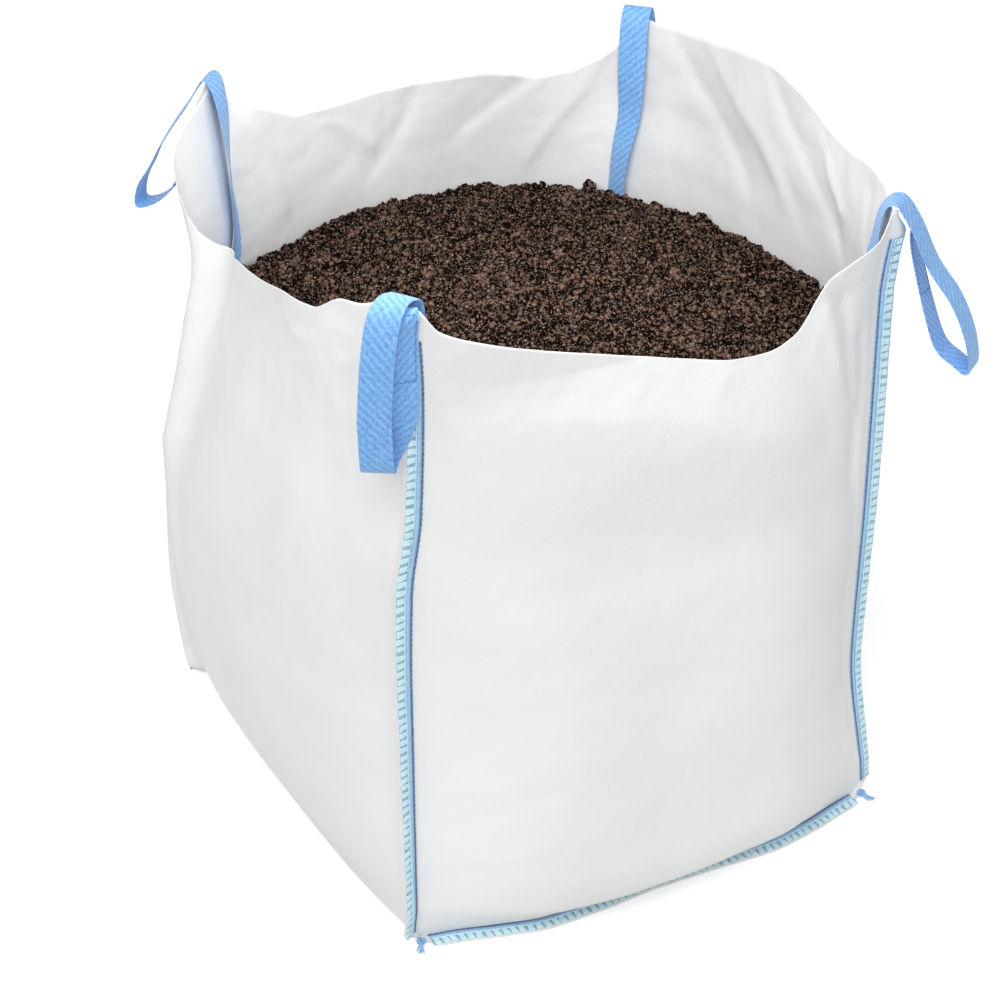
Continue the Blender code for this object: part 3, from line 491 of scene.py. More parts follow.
def side_rows(wall):
    """Rows of one side wall from its rim down and round its fold."""
    share, level = SHARES[None, :], SIDE_LEVELS[:, None]
    height = wall_height(wall, share, level)
    rows = wall_surface(wall, np.broadcast_to(share, height.shape), height)
    facing = wall_facing(wall)
    reach = FOLD_RADIUS - BASE_LEVEL
    angle = TURN[:, None, None] * math.pi / 2
    arc = rows[-1] - facing * reach * (1 - np.cos(angle)) - UP * reach * np.sin(angle)
    end = arc[-1]
    ends = np.stack([base_front("front", end[0, 0]), base_front("back", end[-1, 0])])
    shift = (ends - end[[0, -1], 1])[None, :]
    pull = shift[..., 0] * (1 - SHARES) + shift[..., 1] * SHARES
    arc[..., 1] += pull[None, :] * TURN[:, None]
    return np.concatenate([rows, arc])


def base_front(wall, x):
    """Where the seam of the base lies, front or back, at a place across the bag."""
    first, last, _ = WALLS[wall]
    a, b = corner_plan(first, 0.0)[0], corner_plan(last, 0.0)[0]
    return wall_points(wall, (x - a) / (b - a), 0.0)[..., 1]


def u_sheet_rows():
    """Rows of the folded sheet from the left rim, under the fill, to the right rim."""
    left, right = side_rows("left"), side_rows("right")
    across = BASE_ACROSS[:, None]
    x = left[-1][None, :, 0] * (1 - across) + right[-1][None, :, 0] * across
    front, back = base_front("front", x[:, 0])[:, None], base_front("back", x[:, -1])[:, None]
    y = front * (1 - SHARES) + back * SHARES
    base = np.stack([x, y, np.full(x.shape, BASE_LEVEL)], -1)
    return np.concatenate([left, base, right[::-1]])


class SeamLine:
    """The seam round one open end of the folded sheet, and the margins beyond it."""

    def __init__(self, wall, path):
        self.wall = wall
        self.path = path
        side_count, turn_count = len(SIDE_LEVELS), len(TURN)
        self.left_end = side_count + turn_count // 2 - 1
        self.right_end = len(path) - 1 - self.left_end
        facing = wall_facing(wall)
        turn = np.concatenate([
            np.zeros(side_count), TURN, np.ones(len(BASE_ACROSS)), TURN[::-1],
            np.zeros(side_count),
        ])[:, None]
        half = np.arange(len(path)) < len(path) / 2
        outs = []
        for corner, part in ((WALLS[wall][0], half), (WALLS[wall][1], ~half)):
            side = np.array([CORNERS[corner][0], 0.0, 0.0])
            lean = np.radians(read_curve(MARGIN_LEAN[corner], path[part][:, 2]))[:, None]
            outs.append(side * np.cos(lean) + facing * np.sin(lean))
        out = np.concatenate(outs) * (1 - turn) + facing * turn
        self.out = out / np.linalg.norm(out, axis=1)[:, None]
        tangent = np.gradient(path, axis=0)
        face = np.cross(tangent, self.out)
        face /= np.linalg.norm(face, axis=1)[:, None]
        face *= np.sign(face @ (facing + UP))[:, None]
        self.face = face
        self.travel = travelled(path)
        self.edge = path + face * LAYER
        self.wave = 0.0016 * abs(layered(self.travel * 16, 0 * self.travel + facing[1] * 9, 2, 71))

    def room(self, travel):
        """Distance to the nearer bottom corner, and to the nearer rim."""
        corners = self.travel[[self.left_end, self.right_end]]
        to_corner = np.minimum(abs(travel - corners[0]), abs(travel - corners[1]))
        to_rim = np.minimum(travel, self.travel[-1] - travel)
        return to_corner, to_rim

    def width(self, travel, full):
        """Width of the margin, which narrows to the corners and the rim."""
        to_corner, to_rim = self.room(travel)
        narrow = 0.25 + 0.75 * ease(to_corner / 0.030)
        return full * narrow * (0.3 + 0.7 * ease(to_rim / 0.040))

    def at(self, travel, reach, lift=0.0, layer=True):
        """Points over the margin at a distance out from the seam line."""
        start = self.edge if layer else self.path

        def read(values):
            return np.stack([np.interp(travel, self.travel, values[:, c]) for c in range(3)], -1)

        out, face = read(self.out), read(self.face)
        wave = np.interp(travel, self.travel, self.wave) * (np.asarray(reach) / MARGIN) ** 2
        return read(start) + out * np.asarray(reach)[..., None] + face * (
            np.asarray(lift) + wave)[..., None]


def new_object(name, points, faces, materials, uv=None, kinds=None, smooth=True):
    """Make one object from its points and faces, with flat coordinates along its cloth."""
    mesh = bpy.data.meshes.new(name)
    mesh.from_pydata(np.asarray(points, float).tolist(), [], [tuple(f) for f in faces])
    for material in materials:
        mesh.materials.append(material)
    if uv is not None:
        layer = mesh.uv_layers.new(name="Cloth")
        corners = np.empty(len(mesh.loops), np.int32)
        mesh.loops.foreach_get("vertex_index", corners)
        layer.data.foreach_set("uv", np.asarray(uv, np.float32)[corners].ravel())
    if kinds is not None:
        mesh.polygons.foreach_set("material_index", np.asarray(kinds, np.int32))
    mesh.polygons.foreach_set("use_smooth", [smooth] * len(mesh.polygons))
    mesh.update()
    mesh.validate()
    obj = bpy.data.objects.new(name, mesh)
    bpy.context.scene.collection.objects.link(obj)
    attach(obj, "root")
    return obj


def grid_faces(numbers):
    """Four-sided faces between the rows of a grid of point numbers."""
    a, b = numbers[:-1, :-1], numbers[:-1, 1:]
    c, d = numbers[1:, 1:], numbers[1:, :-1]
    return np.stack([a, b, c, d], -1).reshape(-1, 4)


def pipe_faces(rings, size, start=0):
    """Faces of a closed body whose rings of points follow one another, with both ends."""
    numbers = start + np.arange(rings * size).reshape(rings, size)
    around = np.concatenate([numbers, numbers[:, :1]], axis=1)
    return grid_faces(around).tolist() + [numbers[0][::-1].tolist(), numbers[-1].tolist()]


def face_crosses(points, quads):
    """A vector square to each face, twice as long as the face's area."""
    corners = points[quads]
    return np.cross(corners[:, 2] - corners[:, 0], corners[:, 3] - corners[:, 1])


def point_normals(points, quads):
    """The way that the faces round each point look on the whole."""
    cross = face_crosses(points, quads)
    normals = np.zeros_like(points)
    for k in range(4):
        np.add.at(normals, quads[:, k], cross)
    return normals / np.maximum(np.linalg.norm(normals, axis=1), 1e-12)[:, None]


def thicken(points, quads, thickness):
    """Close a sheet of faces into a body of the thickness."""
    count = len(points)
    normals = point_normals(points, quads)
    outer, inner = points + normals * thickness / 2, points - normals * thickness / 2
    for side in (outer, inner):
        side[:, 2] = np.maximum(side[:, 2], 0.0)
    edges = np.concatenate([quads[:, [k, (k + 1) % 4]] for k in range(4)])
    key = edges.min(1) * count + edges.max(1)
    _, first, times = np.unique(key, return_index=True, return_counts=True)
    border = edges[first[times == 1]]
    rim = np.stack([
        border[:, 1], border[:, 0], border[:, 0] + count, border[:, 1] + count,
    ], -1)
    faces = np.concatenate([quads, quads[:, ::-1] + count, rim])
    return np.concatenate([outer, inner]), faces


def new_material(name, colour, roughness, sheen=0.0, specular=0.3):
    """A plain material, with its node tree and its shader."""
    material = bpy.data.materials.new(name)
    material.use_nodes = True
    shader = material.node_tree.nodes["Principled BSDF"]
    shader.inputs["Base Color"].default_value = (*colour, 1.0)
    shader.inputs["Roughness"].default_value = roughness
    shader.inputs["Specular IOR Level"].default_value = specular
    shader.inputs["Sheen Weight"].default_value = sheen
    return material, material.node_tree, shader


def add_node(tree, kind, **values):
    """Add a node, set its plain properties and its sockets by name."""
    made = tree.nodes.new(kind)
    for key, value in values.items():
        socket = made.inputs.get(key.replace("_", " "))
        if socket is None:
            setattr(made, key, value)
        else:
            socket.default_value = value
    return made


def add_texture(tree, kind, source, **values):
    """Add a texture node that is laid out by the coordinates of the source."""
    made = add_node(tree, kind, **values)
    tree.links.new(source, made.inputs["Vector"])
    return made


def blend_colours(tree, factor, first, second, low=0.35, high=0.65):
    """Colour that goes from the first to the second as the factor rises from low to high."""
    ramp = tree.nodes.new("ShaderNodeValToRGB")
    ramp.color_ramp.elements[0].position = low
    ramp.color_ramp.elements[0].color = (*first, 1.0)
    ramp.color_ramp.elements[1].position = high
    ramp.color_ramp.elements[1].color = (*second, 1.0)
    tree.links.new(factor, ramp.inputs["Fac"])
    return ramp


def add_bump(tree, shader, height, strength, distance):
    """Put a bump on the shader, over the ones already there."""
    bump = add_node(tree, "ShaderNodeBump", Strength=strength, Distance=distance)
    tree.links.new(height, bump.inputs["Height"])
    before = shader.inputs["Normal"].links
    if before:
        tree.links.new(before[0].from_socket, bump.inputs["Normal"])
    tree.links.new(bump.outputs["Normal"], shader.inputs["Normal"])


def stripes(tree, source, direction, period):
    """Even ribs across one direction of the cloth, at the period in metres."""
    wave = add_texture(tree, "ShaderNodeTexWave", source, Scale=math.pi / 10 / period)
    wave.bands_direction = direction
    return wave


def woven_material():
    """White woven tape sheet: flat tapes over and under, with fine creasing."""
    setting = bpy.context.scene.bag_sheet
    material, tree, shader = new_material("woven sheet", (0.80, 0.80, 0.79), 0.52, 0.15)
    place = add_node(tree, "ShaderNodeTexCoord").outputs
    across = stripes(tree, place["UV"], "X", setting.tape_width)
    along = stripes(tree, place["UV"], "Y", setting.tape_width)
    checks = add_texture(
        tree, "ShaderNodeTexChecker", place["UV"], Scale=1 / setting.tape_width
    )
    weave = add_node(tree, "ShaderNodeMix", data_type="FLOAT")
    tree.links.new(checks.outputs["Fac"], weave.inputs[0])
    tree.links.new(across.outputs["Fac"], weave.inputs[2])
    tree.links.new(along.outputs["Fac"], weave.inputs[3])
    creases = add_texture(
        tree, "ShaderNodeTexNoise", place["Object"], Scale=22.0, Detail=6.0, Roughness=0.62
    )
    patches = add_texture(tree, "ShaderNodeTexNoise", place["Object"], Scale=3.2, Detail=4.0)
    colour = blend_colours(
        tree, patches.outputs["Fac"], setting.white_dark, setting.white, 0.3, 0.7
    )
    tree.links.new(colour.outputs["Color"], shader.inputs["Base Color"])
    gloss = add_node(tree, "ShaderNodeMapRange", To_Min=0.45, To_Max=0.62)
    tree.links.new(creases.outputs["Fac"], gloss.inputs["Value"])
    tree.links.new(gloss.outputs["Result"], shader.inputs["Roughness"])
    add_bump(tree, shader, weave.outputs[0], 0.22, 0.0004)
    add_bump(tree, shader, creases.outputs["Fac"], 0.28, 0.006)
    return material


def thread_material(name, colour, dark, period):
    """Twisted thread, with a lay that runs across its length."""
    material, tree, shader = new_material(name, colour, 0.6, 0.25)
    place = add_node(tree, "ShaderNodeTexCoord").outputs
    speck = add_texture(tree, "ShaderNodeTexNoise", place["Object"], Scale=160.0, Detail=4.0)
    tone = blend_colours(tree, speck.outputs["Fac"], dark, colour, 0.32, 0.52)
    tree.links.new(tone.outputs["Color"], shader.inputs["Base Color"])
    lay = stripes(tree, place["UV"], "DIAGONAL", period)
    add_bump(tree, shader, lay.outputs["Fac"], 0.5, 0.0004)
    return material


def webbing_material():
    """Blue webbing: lengthwise cords crossed by the slant of a twill."""
    setting = bpy.context.scene.bag_loop
    material, tree, shader = new_material("blue webbing", (0.16, 0.40, 0.80), 0.6, 0.3)
    place = add_node(tree, "ShaderNodeTexCoord").outputs
    cords = stripes(tree, place["UV"], "X", setting.rib_width)
    slant = stripes(tree, place["UV"], "DIAGONAL", setting.rib_width * 2.4)
    weave = add_node(tree, "ShaderNodeMath", operation="MULTIPLY_ADD")
    tree.links.new(cords.outputs["Fac"], weave.inputs[0])
    weave.inputs[1].default_value = 0.5
    tree.links.new(slant.outputs["Fac"], weave.inputs[2])
    speck = add_texture(tree, "ShaderNodeTexNoise", place["Object"], Scale=240.0, Detail=4.0)
    mixed = add_node(tree, "ShaderNodeMath", operation="MULTIPLY_ADD")
    tree.links.new(weave.outputs[0], mixed.inputs[0])
    mixed.inputs[1].default_value = 0.22
    tree.links.new(speck.outputs["Fac"], mixed.inputs[2])
    tone = blend_colours(
        tree, mixed.outputs[0], setting.blue_dark, setting.blue, 0.40, 0.92
    )
    tree.links.new(tone.outputs["Color"], shader.inputs["Base Color"])
    add_bump(tree, shader, weave.outputs[0], 0.6, 0.0008)
    add_bump(tree, shader, speck.outputs["Fac"], 0.2, 0.001)
    return material


def compost_material():
    """Dark damp compost: brown grains with near-black gaps, clods and pale specks; the near-black
    of the gaps and hollows is partly painted shade, and the pale specks are partly painted glints.
    """
    setting = bpy.context.scene.bag_fill
    material, tree, shader = new_material("compost crumb", (0.045, 0.028, 0.019), 1.0, 0.0, 0.0)
    place = add_node(tree, "ShaderNodeTexCoord").outputs["Object"]
    clods = add_texture(
        tree, "ShaderNodeTexNoise", place, Scale=24.0, Detail=8.0, Roughness=0.72
    )
    grains = add_texture(tree, "ShaderNodeTexVoronoi", place, Scale=115.0)
    rough = add_node(tree, "ShaderNodeMath", operation="MULTIPLY_ADD")
    tree.links.new(grains.outputs["Distance"], rough.inputs[0])
    rough.inputs[1].default_value = -0.75
    tree.links.new(clods.outputs["Fac"], rough.inputs[2])
    # Tone goes from the near-black gap colour up to the grain brown as grains and clods rise: the
    # dark low end is partly the compost's own tone and partly painted shade in the gaps and
    # hollows.
    tone = blend_colours(tree, rough.outputs[0], setting.gap, setting.grain, 0.10, 0.40)
    # Pale specks: partly tan bits in the compost, partly painted glints on the grains, as the
    # compost has no gloss of its own.
    specks = add_texture(
        tree, "ShaderNodeTexNoise", place, Scale=300.0, Detail=3.0, Roughness=0.6
    )
    speck_and_glint_mask = add_node(tree, "ShaderNodeMapRange", From_Min=0.58, From_Max=0.66)
    tree.links.new(specks.outputs["Fac"], speck_and_glint_mask.inputs["Value"])
    mixed = add_node(tree, "ShaderNodeMix", data_type="RGBA")
    tree.links.new(speck_and_glint_mask.outputs["Result"], mixed.inputs[0])
    tree.links.new(tone.outputs["Color"], mixed.inputs[6])
    mixed.inputs[7].default_value = (*setting.speck, 1.0)
    tree.links.new(mixed.outputs[2], shader.inputs["Base Color"])
    add_bump(tree, shader, rough.outputs[0], 1.0, 0.008)
    add_bump(tree, shader, specks.outputs["Fac"], 0.7, 0.0020)
    return material


def fibre_material():
    """Dry plant fibre, patchy from pale to brown."""
    setting = bpy.context.scene.bag_fill
    material, tree, shader = new_material("plant fibre", (0.36, 0.25, 0.19), 0.9)
    place = add_node(tree, "ShaderNodeTexCoord").outputs["Object"]
    speck = add_texture(tree, "ShaderNodeTexNoise", place, Scale=55.0, Detail=3.0)
    tone = blend_colours(tree, speck.outputs["Fac"], setting.fibre_dark, setting.fibre)
    tree.links.new(tone.outputs["Color"], shader.inputs["Base Color"])
    add_bump(tree, shader, speck.outputs["Fac"], 0.4, 0.001)
    return material


def material_once(name, make):
    """The material of that name, made the first time that it is asked for.

    No name here is one that the construction model's own materials have.
    """
    return bpy.data.materials.get(name) or make()


def sheet_material():
    """The white woven sheet, shared by all three panels."""
    return material_once("woven sheet", woven_material)


def thread(name):
    """The thread or tape of that name, in the colours among the seam's settings."""
    key, twist = THREADS[name]
    setting = bpy.context.scene.bag_seam
    colour, dark = getattr(setting, key), getattr(setting, f"{key}_dark")
    return material_once(name, lambda: thread_material(name, colour, dark, twist))


def build_u_sheet():
    """The folded sheet that makes the left side, the base and the right side."""
    rows = u_sheet_rows()
    parts = []
    for wall, path, order in (("front", rows[:, 0], 1), ("back", rows[:, -1], -1)):
        seam = SeamLine(wall, path)
        reach = seam.width(seam.travel, FOLDED_MARGIN)[:, None] * MARGIN_ROWS[::order]
        travel = np.broadcast_to(seam.travel[:, None], reach.shape)
        parts.append(seam.at(travel, reach, 0.0, layer=False))
    grid = np.concatenate([parts[0], rows, parts[1]], axis=1)
    down = travelled(rows[:, len(SHARES) // 2])
    beside = FOLDED_MARGIN * MARGIN_ROWS
    across = np.concatenate([-beside, SHARES * BASE_SIDE, BASE_SIDE + beside[::-1]])
    uv = np.stack(np.meshgrid(across, down), -1).reshape(-1, 2)
    points = grid.reshape(-1, 3)
    quads = grid_faces(np.arange(len(points)).reshape(grid.shape[:2]))
    body, faces = thicken(points, quads, FABRIC)
    obj = new_object("u_sheet", body, faces, [sheet_material()], np.tile(uv, (2, 1)))
    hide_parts("u_panel")


def seam_lines():
    """The seams round the front and back ends of the folded sheet."""
    rows = u_sheet_rows()
    return {"front": SeamLine("front", rows[:, 0]), "back": SeamLine("back", rows[:, -1])}


def build_end_sheet(wall, seam):
    """The front or back sheet and its margin, sewn to the folded sheet."""
    left, right = seam.left_end, seam.right_end
    edge = seam.edge
    first_x, last_x = corner_plan(WALLS[wall][0], 0.0)[0], corner_plan(WALLS[wall][1], 0.0)[0]
    bottom = np.arange(left + 1, right)
    share = ((edge[bottom, 0] - first_x) / (last_x - first_x))[None, :]
    turn_heights = edge[left:len(SIDE_LEVELS) - 1:-1, 2]
    levels = SIDE_LEVELS[::-1]
    low = np.broadcast_to(turn_heights[1:, None], (len(turn_heights) - 1, share.size))
    high = wall_height(wall, np.broadcast_to(share, (len(levels), share.size)), levels[:, None])
    height = np.concatenate([low, high])
    inside = wall_surface(wall, np.broadcast_to(share, height.shape), height)
    inside = inside + wall_facing(wall) * LAYER
    count = len(edge)
    numbers = np.empty((left + 1, share.size + 2), int)
    numbers[:, 0] = np.arange(left, -1, -1)
    numbers[:, -1] = np.arange(right, count)
    numbers[0, 1:-1] = bottom
    numbers[1:, 1:-1] = count + np.arange(inside.shape[0] * inside.shape[1]).reshape(
        inside.shape[:2])
    reach = seam.width(seam.travel, MARGIN)[:, None] * MARGIN_ROWS[::-1]
    travel = np.broadcast_to(seam.travel[:, None], reach.shape)
    margin = seam.at(travel, reach).transpose(1, 0, 2)
    start = count + inside.shape[0] * inside.shape[1]
    margin_numbers = start + np.arange(margin.shape[0] * count).reshape(-1, count)
    ladder = np.concatenate([margin_numbers[::-1], np.arange(count)[None, :]])
    points = np.concatenate([edge, inside.reshape(-1, 3), margin.reshape(-1, 3)])
    quads = np.concatenate([grid_faces(numbers), grid_faces(ladder)])
    if wall == "back":
        quads = quads[:, ::-1]
    uv = np.stack([points[:, 0], points[:, 2]], -1)
    flat = np.arange(start, len(points))
    uv[flat, 1] -= 0.3 * abs(points[flat, 1] - edge[np.tile(np.arange(count), 4), 1])
    body, faces = thicken(points, quads, FABRIC)
    obj = new_object(f"{wall}_sheet", body, faces, [sheet_material()], np.tile(uv, (2, 1)))
    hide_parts(f"{wall}_panel")


def tubes(lines, radius, sides=6):
    """Round threads along several lines of points, as points, faces and flat coordinates."""
    points, faces, uv = [], [], []
    start = 0
    turn = np.linspace(0, 2 * math.pi, sides, endpoint=False)
    for line in lines:
        line = np.asarray(line, float)
        ahead = np.gradient(line, axis=0)
        ahead /= np.maximum(np.linalg.norm(ahead, axis=1), 1e-9)[:, None]
        guide = np.where(abs(ahead[:, 2:3]) > 0.9, [[1.0, 0.0, 0.0]], [[0.0, 0.0, 1.0]])
        side = np.cross(ahead, guide)
        side /= np.linalg.norm(side, axis=1)[:, None]
        top = np.cross(side, ahead)
        ring = (
            line[:, None] + radius * (side[:, None] * np.cos(turn)[:, None]
                                      + top[:, None] * np.sin(turn)[:, None])
        )
        faces += pipe_faces(len(line), sides, start)
        points.append(ring.reshape(-1, 3))
        uv.append(np.stack(np.broadcast_arrays(
            turn[None, :] * radius, travelled(line)[:, None]), -1).reshape(-1, 2))
        start += len(line) * sides
    return np.concatenate(points), faces, np.concatenate(uv)


def seam_runs(seam):
    """Start and end of the three runs of a seam along it, clear of its corners."""
    left, right = seam.travel[[seam.left_end, seam.right_end]]
    return (
        (RIM_GAP, left - CORNER_GAP),
        (left + CORNER_GAP, right - CORNER_GAP),
        (right + CORNER_GAP, seam.travel[-1] - RIM_GAP),
    )


def replace_runs(seam, kind):
    """Let a piece stand for the three solids of its kind along a seam."""
    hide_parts(*(f"{seam.wall}_{run}_{kind}" for run in RUNS))


def build_chain_stitch(seam):
    """The sewing line: a chain of navy loops with a pale needle thread beside it."""
    setting = bpy.context.scene.bag_seam
    lines, pale = [], []
    t = np.linspace(0, 1, 6)
    for start, end in seam_runs(seam):
        count = int((end - start) / setting.chain_pitch)
        pitch = (end - start) / count
        for k in range(count):
            travel = start + (k - 0.15 + 1.3 * t) * pitch
            swing = 0.0009 * np.sin(math.pi * t)
            lift = SEAM_REST + 0.0007 + 0.0006 * np.sin(math.pi * t)
            lines.append(seam.at(travel, CHAIN_REACH + swing, lift))
            lines.append(seam.at(travel, CHAIN_REACH - swing, lift))
            dash = start + (k + 0.1 + 0.8 * t) * pitch
            arch = SEAM_REST + 0.0005 * np.sin(math.pi * t)
            pale.append(seam.at(dash, np.full(6, NEEDLE_REACH), arch))
    navy = tubes(lines, 0.00068, 4)
    light = tubes(pale, 0.0006, 4)
    shift = len(navy[0])
    points = np.concatenate([navy[0], light[0]])
    faces = navy[1] + [[n + shift for n in face] for face in light[1]]
    kinds = [0] * len(navy[1]) + [1] * len(light[1])
    materials = [thread("navy thread"), thread("sky thread")]
    uv = np.concatenate([navy[2], light[2]])
    obj = new_object(f"{seam.wall}_chain_stitch_thread", points, faces, materials, uv, kinds)
    replace_runs(seam, "chain_stitch")


def build_seam_tape(seam):
    """The pale strip between the sewing line and the ladder, drawn in at each stitch."""
    setting = bpy.context.scene.bag_seam
    across = np.linspace(-1, 1, 7)
    points, faces, uv = [], [], []
    number = 0
    for start, end in seam_runs(seam):
        travel = np.linspace(start, end, int((end - start) / 0.0035))[:, None]
        draw = 0.5 + 0.5 * np.sin(travel / setting.stitch_pitch * 4 * math.pi)
        reach = TAPE_REACH + across[None, :] * TAPE_HALF_WIDTH * (0.92 + 0.08 * draw)
        lift = SEAM_REST + 0.0010 * (1 - across[None, :] ** 4) * (0.75 + 0.35 * draw)
        travel, reach, lift = np.broadcast_arrays(travel, reach, lift)
        top = seam.at(travel, reach, lift)
        low = seam.at(travel[:, [-1, 0]], reach[:, [-1, 0]], SEAM_REST)
        ring = np.concatenate([top, low], axis=1)
        rows, size = ring.shape[:2]
        faces += [face[::-1] for face in pipe_faces(rows, size, number)]
        flat = np.concatenate([reach, reach[:, [-1, 0]]], axis=1)
        uv.append(np.stack([flat, np.broadcast_to(travel[:, :1], flat.shape)], -1).reshape(-1, 2))
        points.append(ring.reshape(-1, 3))
        number += rows * size
    obj = new_object(
        f"{seam.wall}_seam_strip", np.concatenate(points), faces, [thread("pale seam tape")],
        np.concatenate(uv),
    )
    replace_runs(seam, "seam_tape")


def build_ladder(seam):
    """The overlock: bundles of pale thread over a darker bed, wrapped round the edge; the bed's
    colour is partly teal under-thread and partly painted shade between the rungs.
    """
    setting = bpy.context.scene.bag_seam
    points, faces, uv, kinds = [], [], [], []
    number = 0
    reach_out = LADDER_FAR - LADDER_NEAR
    far_side = -LAYER - FABRIC / 2

    def add(grid, kind):
        """Add a patch of thread, kind 0, or of the bed under it, kind 1, whose colour is partly
        under-thread and partly painted shade.
        """
        nonlocal number
        rows, columns = grid.shape[:2]
        made = grid_faces(number + np.arange(rows * columns).reshape(rows, columns))
        faces.extend(made.tolist())
        kinds.extend([kind] * len(made))
        points.append(grid.reshape(-1, 3))
        place = np.stack(np.meshgrid(np.arange(columns), np.arange(rows)), -1)
        uv.append(place.reshape(-1, 2) * 0.0007)
        number += rows * columns

    strand = np.linspace(0, 1, setting.rung_strands * 3 + 1)[:, None]
    out, lifts = RUNG_OUT[None, :], RUNG_LIFT[None, :]
    round_top = abs(np.sin(strand * math.pi * setting.rung_strands))
    for start, end in seam_runs(seam):
        count = int((end - start) / setting.stitch_pitch)
        pitch = (end - start) / count
        travel = np.linspace(start, end, count * 4 + 1)[:, None]
        # The bed strip under the rungs: partly teal under-thread, partly painted shade between the
        # rungs.
        bed_and_painted_shade = np.array([
            LADDER_NEAR, LADDER_NEAR + 0.004, LADDER_FAR - 0.002, LADDER_FAR + 0.0002,
        ])[None, :]
        bed_lift = SEAM_REST + np.array([0.0, 0.00045, 0.00045, 0.0])[None, :]
        travel, bed_and_painted_shade, bed_lift = np.broadcast_arrays(travel, bed_and_painted_shade, bed_lift)
        add(seam.at(travel, bed_and_painted_shade, bed_lift), 1)
        for k in range(count):
            jitter = 0.05 * math.sin(k * 2.4) + 0.04 * math.sin(k * 5.3 + 1)
            middle = start + (k + 0.5 + jitter) * pitch
            spread = (strand - 0.5) * setting.rung_width
            fan = 0.80 + 0.28 * out + 0.05 * math.sin(k * 1.7)
            reach = LADDER_NEAR + reach_out * out + 0.0003 * math.sin(k * 3.1)
            lift = SEAM_REST + (0.0007 + 0.0009 * round_top) * lifts
            lift = np.where(lifts < 0, far_side * (lifts / RUNG_LIFT[-1]), lift)
            place = middle + spread * fan + 0.12 * pitch * out * math.sin(k)
            place, reach, lift = np.broadcast_arrays(place, reach, lift)
            add(seam.at(place, reach, lift), 0)
    lines = []
    for start, end in seam_runs(seam):
        travel = np.arange(start, end, 0.0022)
        phase = (travel - start) / setting.stitch_pitch * 2 * math.pi
        for shift in (0.0, math.pi):
            reach = LADDER_NEAR + 0.0012 + 0.0010 * np.sin(phase + shift)
            lift = SEAM_REST + 0.0014 + 0.0004 * np.cos(phase + shift)
            lines.append(seam.at(travel, reach, lift))
    spine, spine_faces, spine_uv = tubes(lines, 0.0008, 5)
    faces.extend([[n + number for n in face] for face in spine_faces])
    kinds.extend([0] * len(spine_faces))
    points.append(spine)
    uv.append(spine_uv)
    materials = [thread("pale overlock thread"), thread("teal overlock bed and painted shade")]
    obj = new_object(
        f"{seam.wall}_overlock_ladder", np.concatenate(points), faces, materials,
        np.concatenate(uv), kinds,
    )
    replace_runs(seam, "overlock")


def curve_through(points, count):
    """Evenly spread points of a smooth curve through a few chosen ones."""
    points = np.array(points, float)
    padded = np.vstack([2 * points[0] - points[1], points, 2 * points[-1] - points[-2]])
    fine = []
    for k in range(1, len(padded) - 2):
        p, q, r, s = padded[k - 1:k + 3]
        for t in np.arange(16) / 16:
            fine.append(
                0.5 * (2 * q + (r - p) * t + (2 * p - 5 * q + 4 * r - s) * t**2
                       + (3 * q - p - 3 * r + s) * t**3)
            )
    fine = np.array(fine + [points[-1]])
    travel = travelled(fine[:, :3])
    marks = np.linspace(0, travel[-1], count)
    return np.stack([np.interp(marks, travel, fine[:, c]) for c in range(4)], -1), marks


def strap_frame(corner, count):
    """Stations of a loop: centres, the way of its width, the way it faces, and travel."""
    x, y = corner_plan(corner, PEAK[corner])
    route = np.array(STRAP_ROUTES[corner], float)
    route[:, :3] += (float(x), float(y), PEAK[corner])
    low = route[0].copy()
    drop = INNER_END_DROP[corner]
    here = np.array(corner_plan(corner, low[2]))
    below = np.array(corner_plan(corner, low[2] - drop))
    low[:2] += below - here
    low[2] -= drop
    route = np.vstack([low, route])
    fine, travel = curve_through(route, count)
    centres = fine[:, :3]
    ahead = np.gradient(centres, axis=0)
    ahead /= np.linalg.norm(ahead, axis=1)[:, None]
    bearing = np.radians(fine[:, 3])
    across = np.stack([np.cos(bearing), np.sin(bearing), 0 * bearing], -1)
    across -= ahead * (across * ahead).sum(1)[:, None]
    across /= np.linalg.norm(across, axis=1)[:, None]
    return centres, across, np.cross(ahead, across), travel


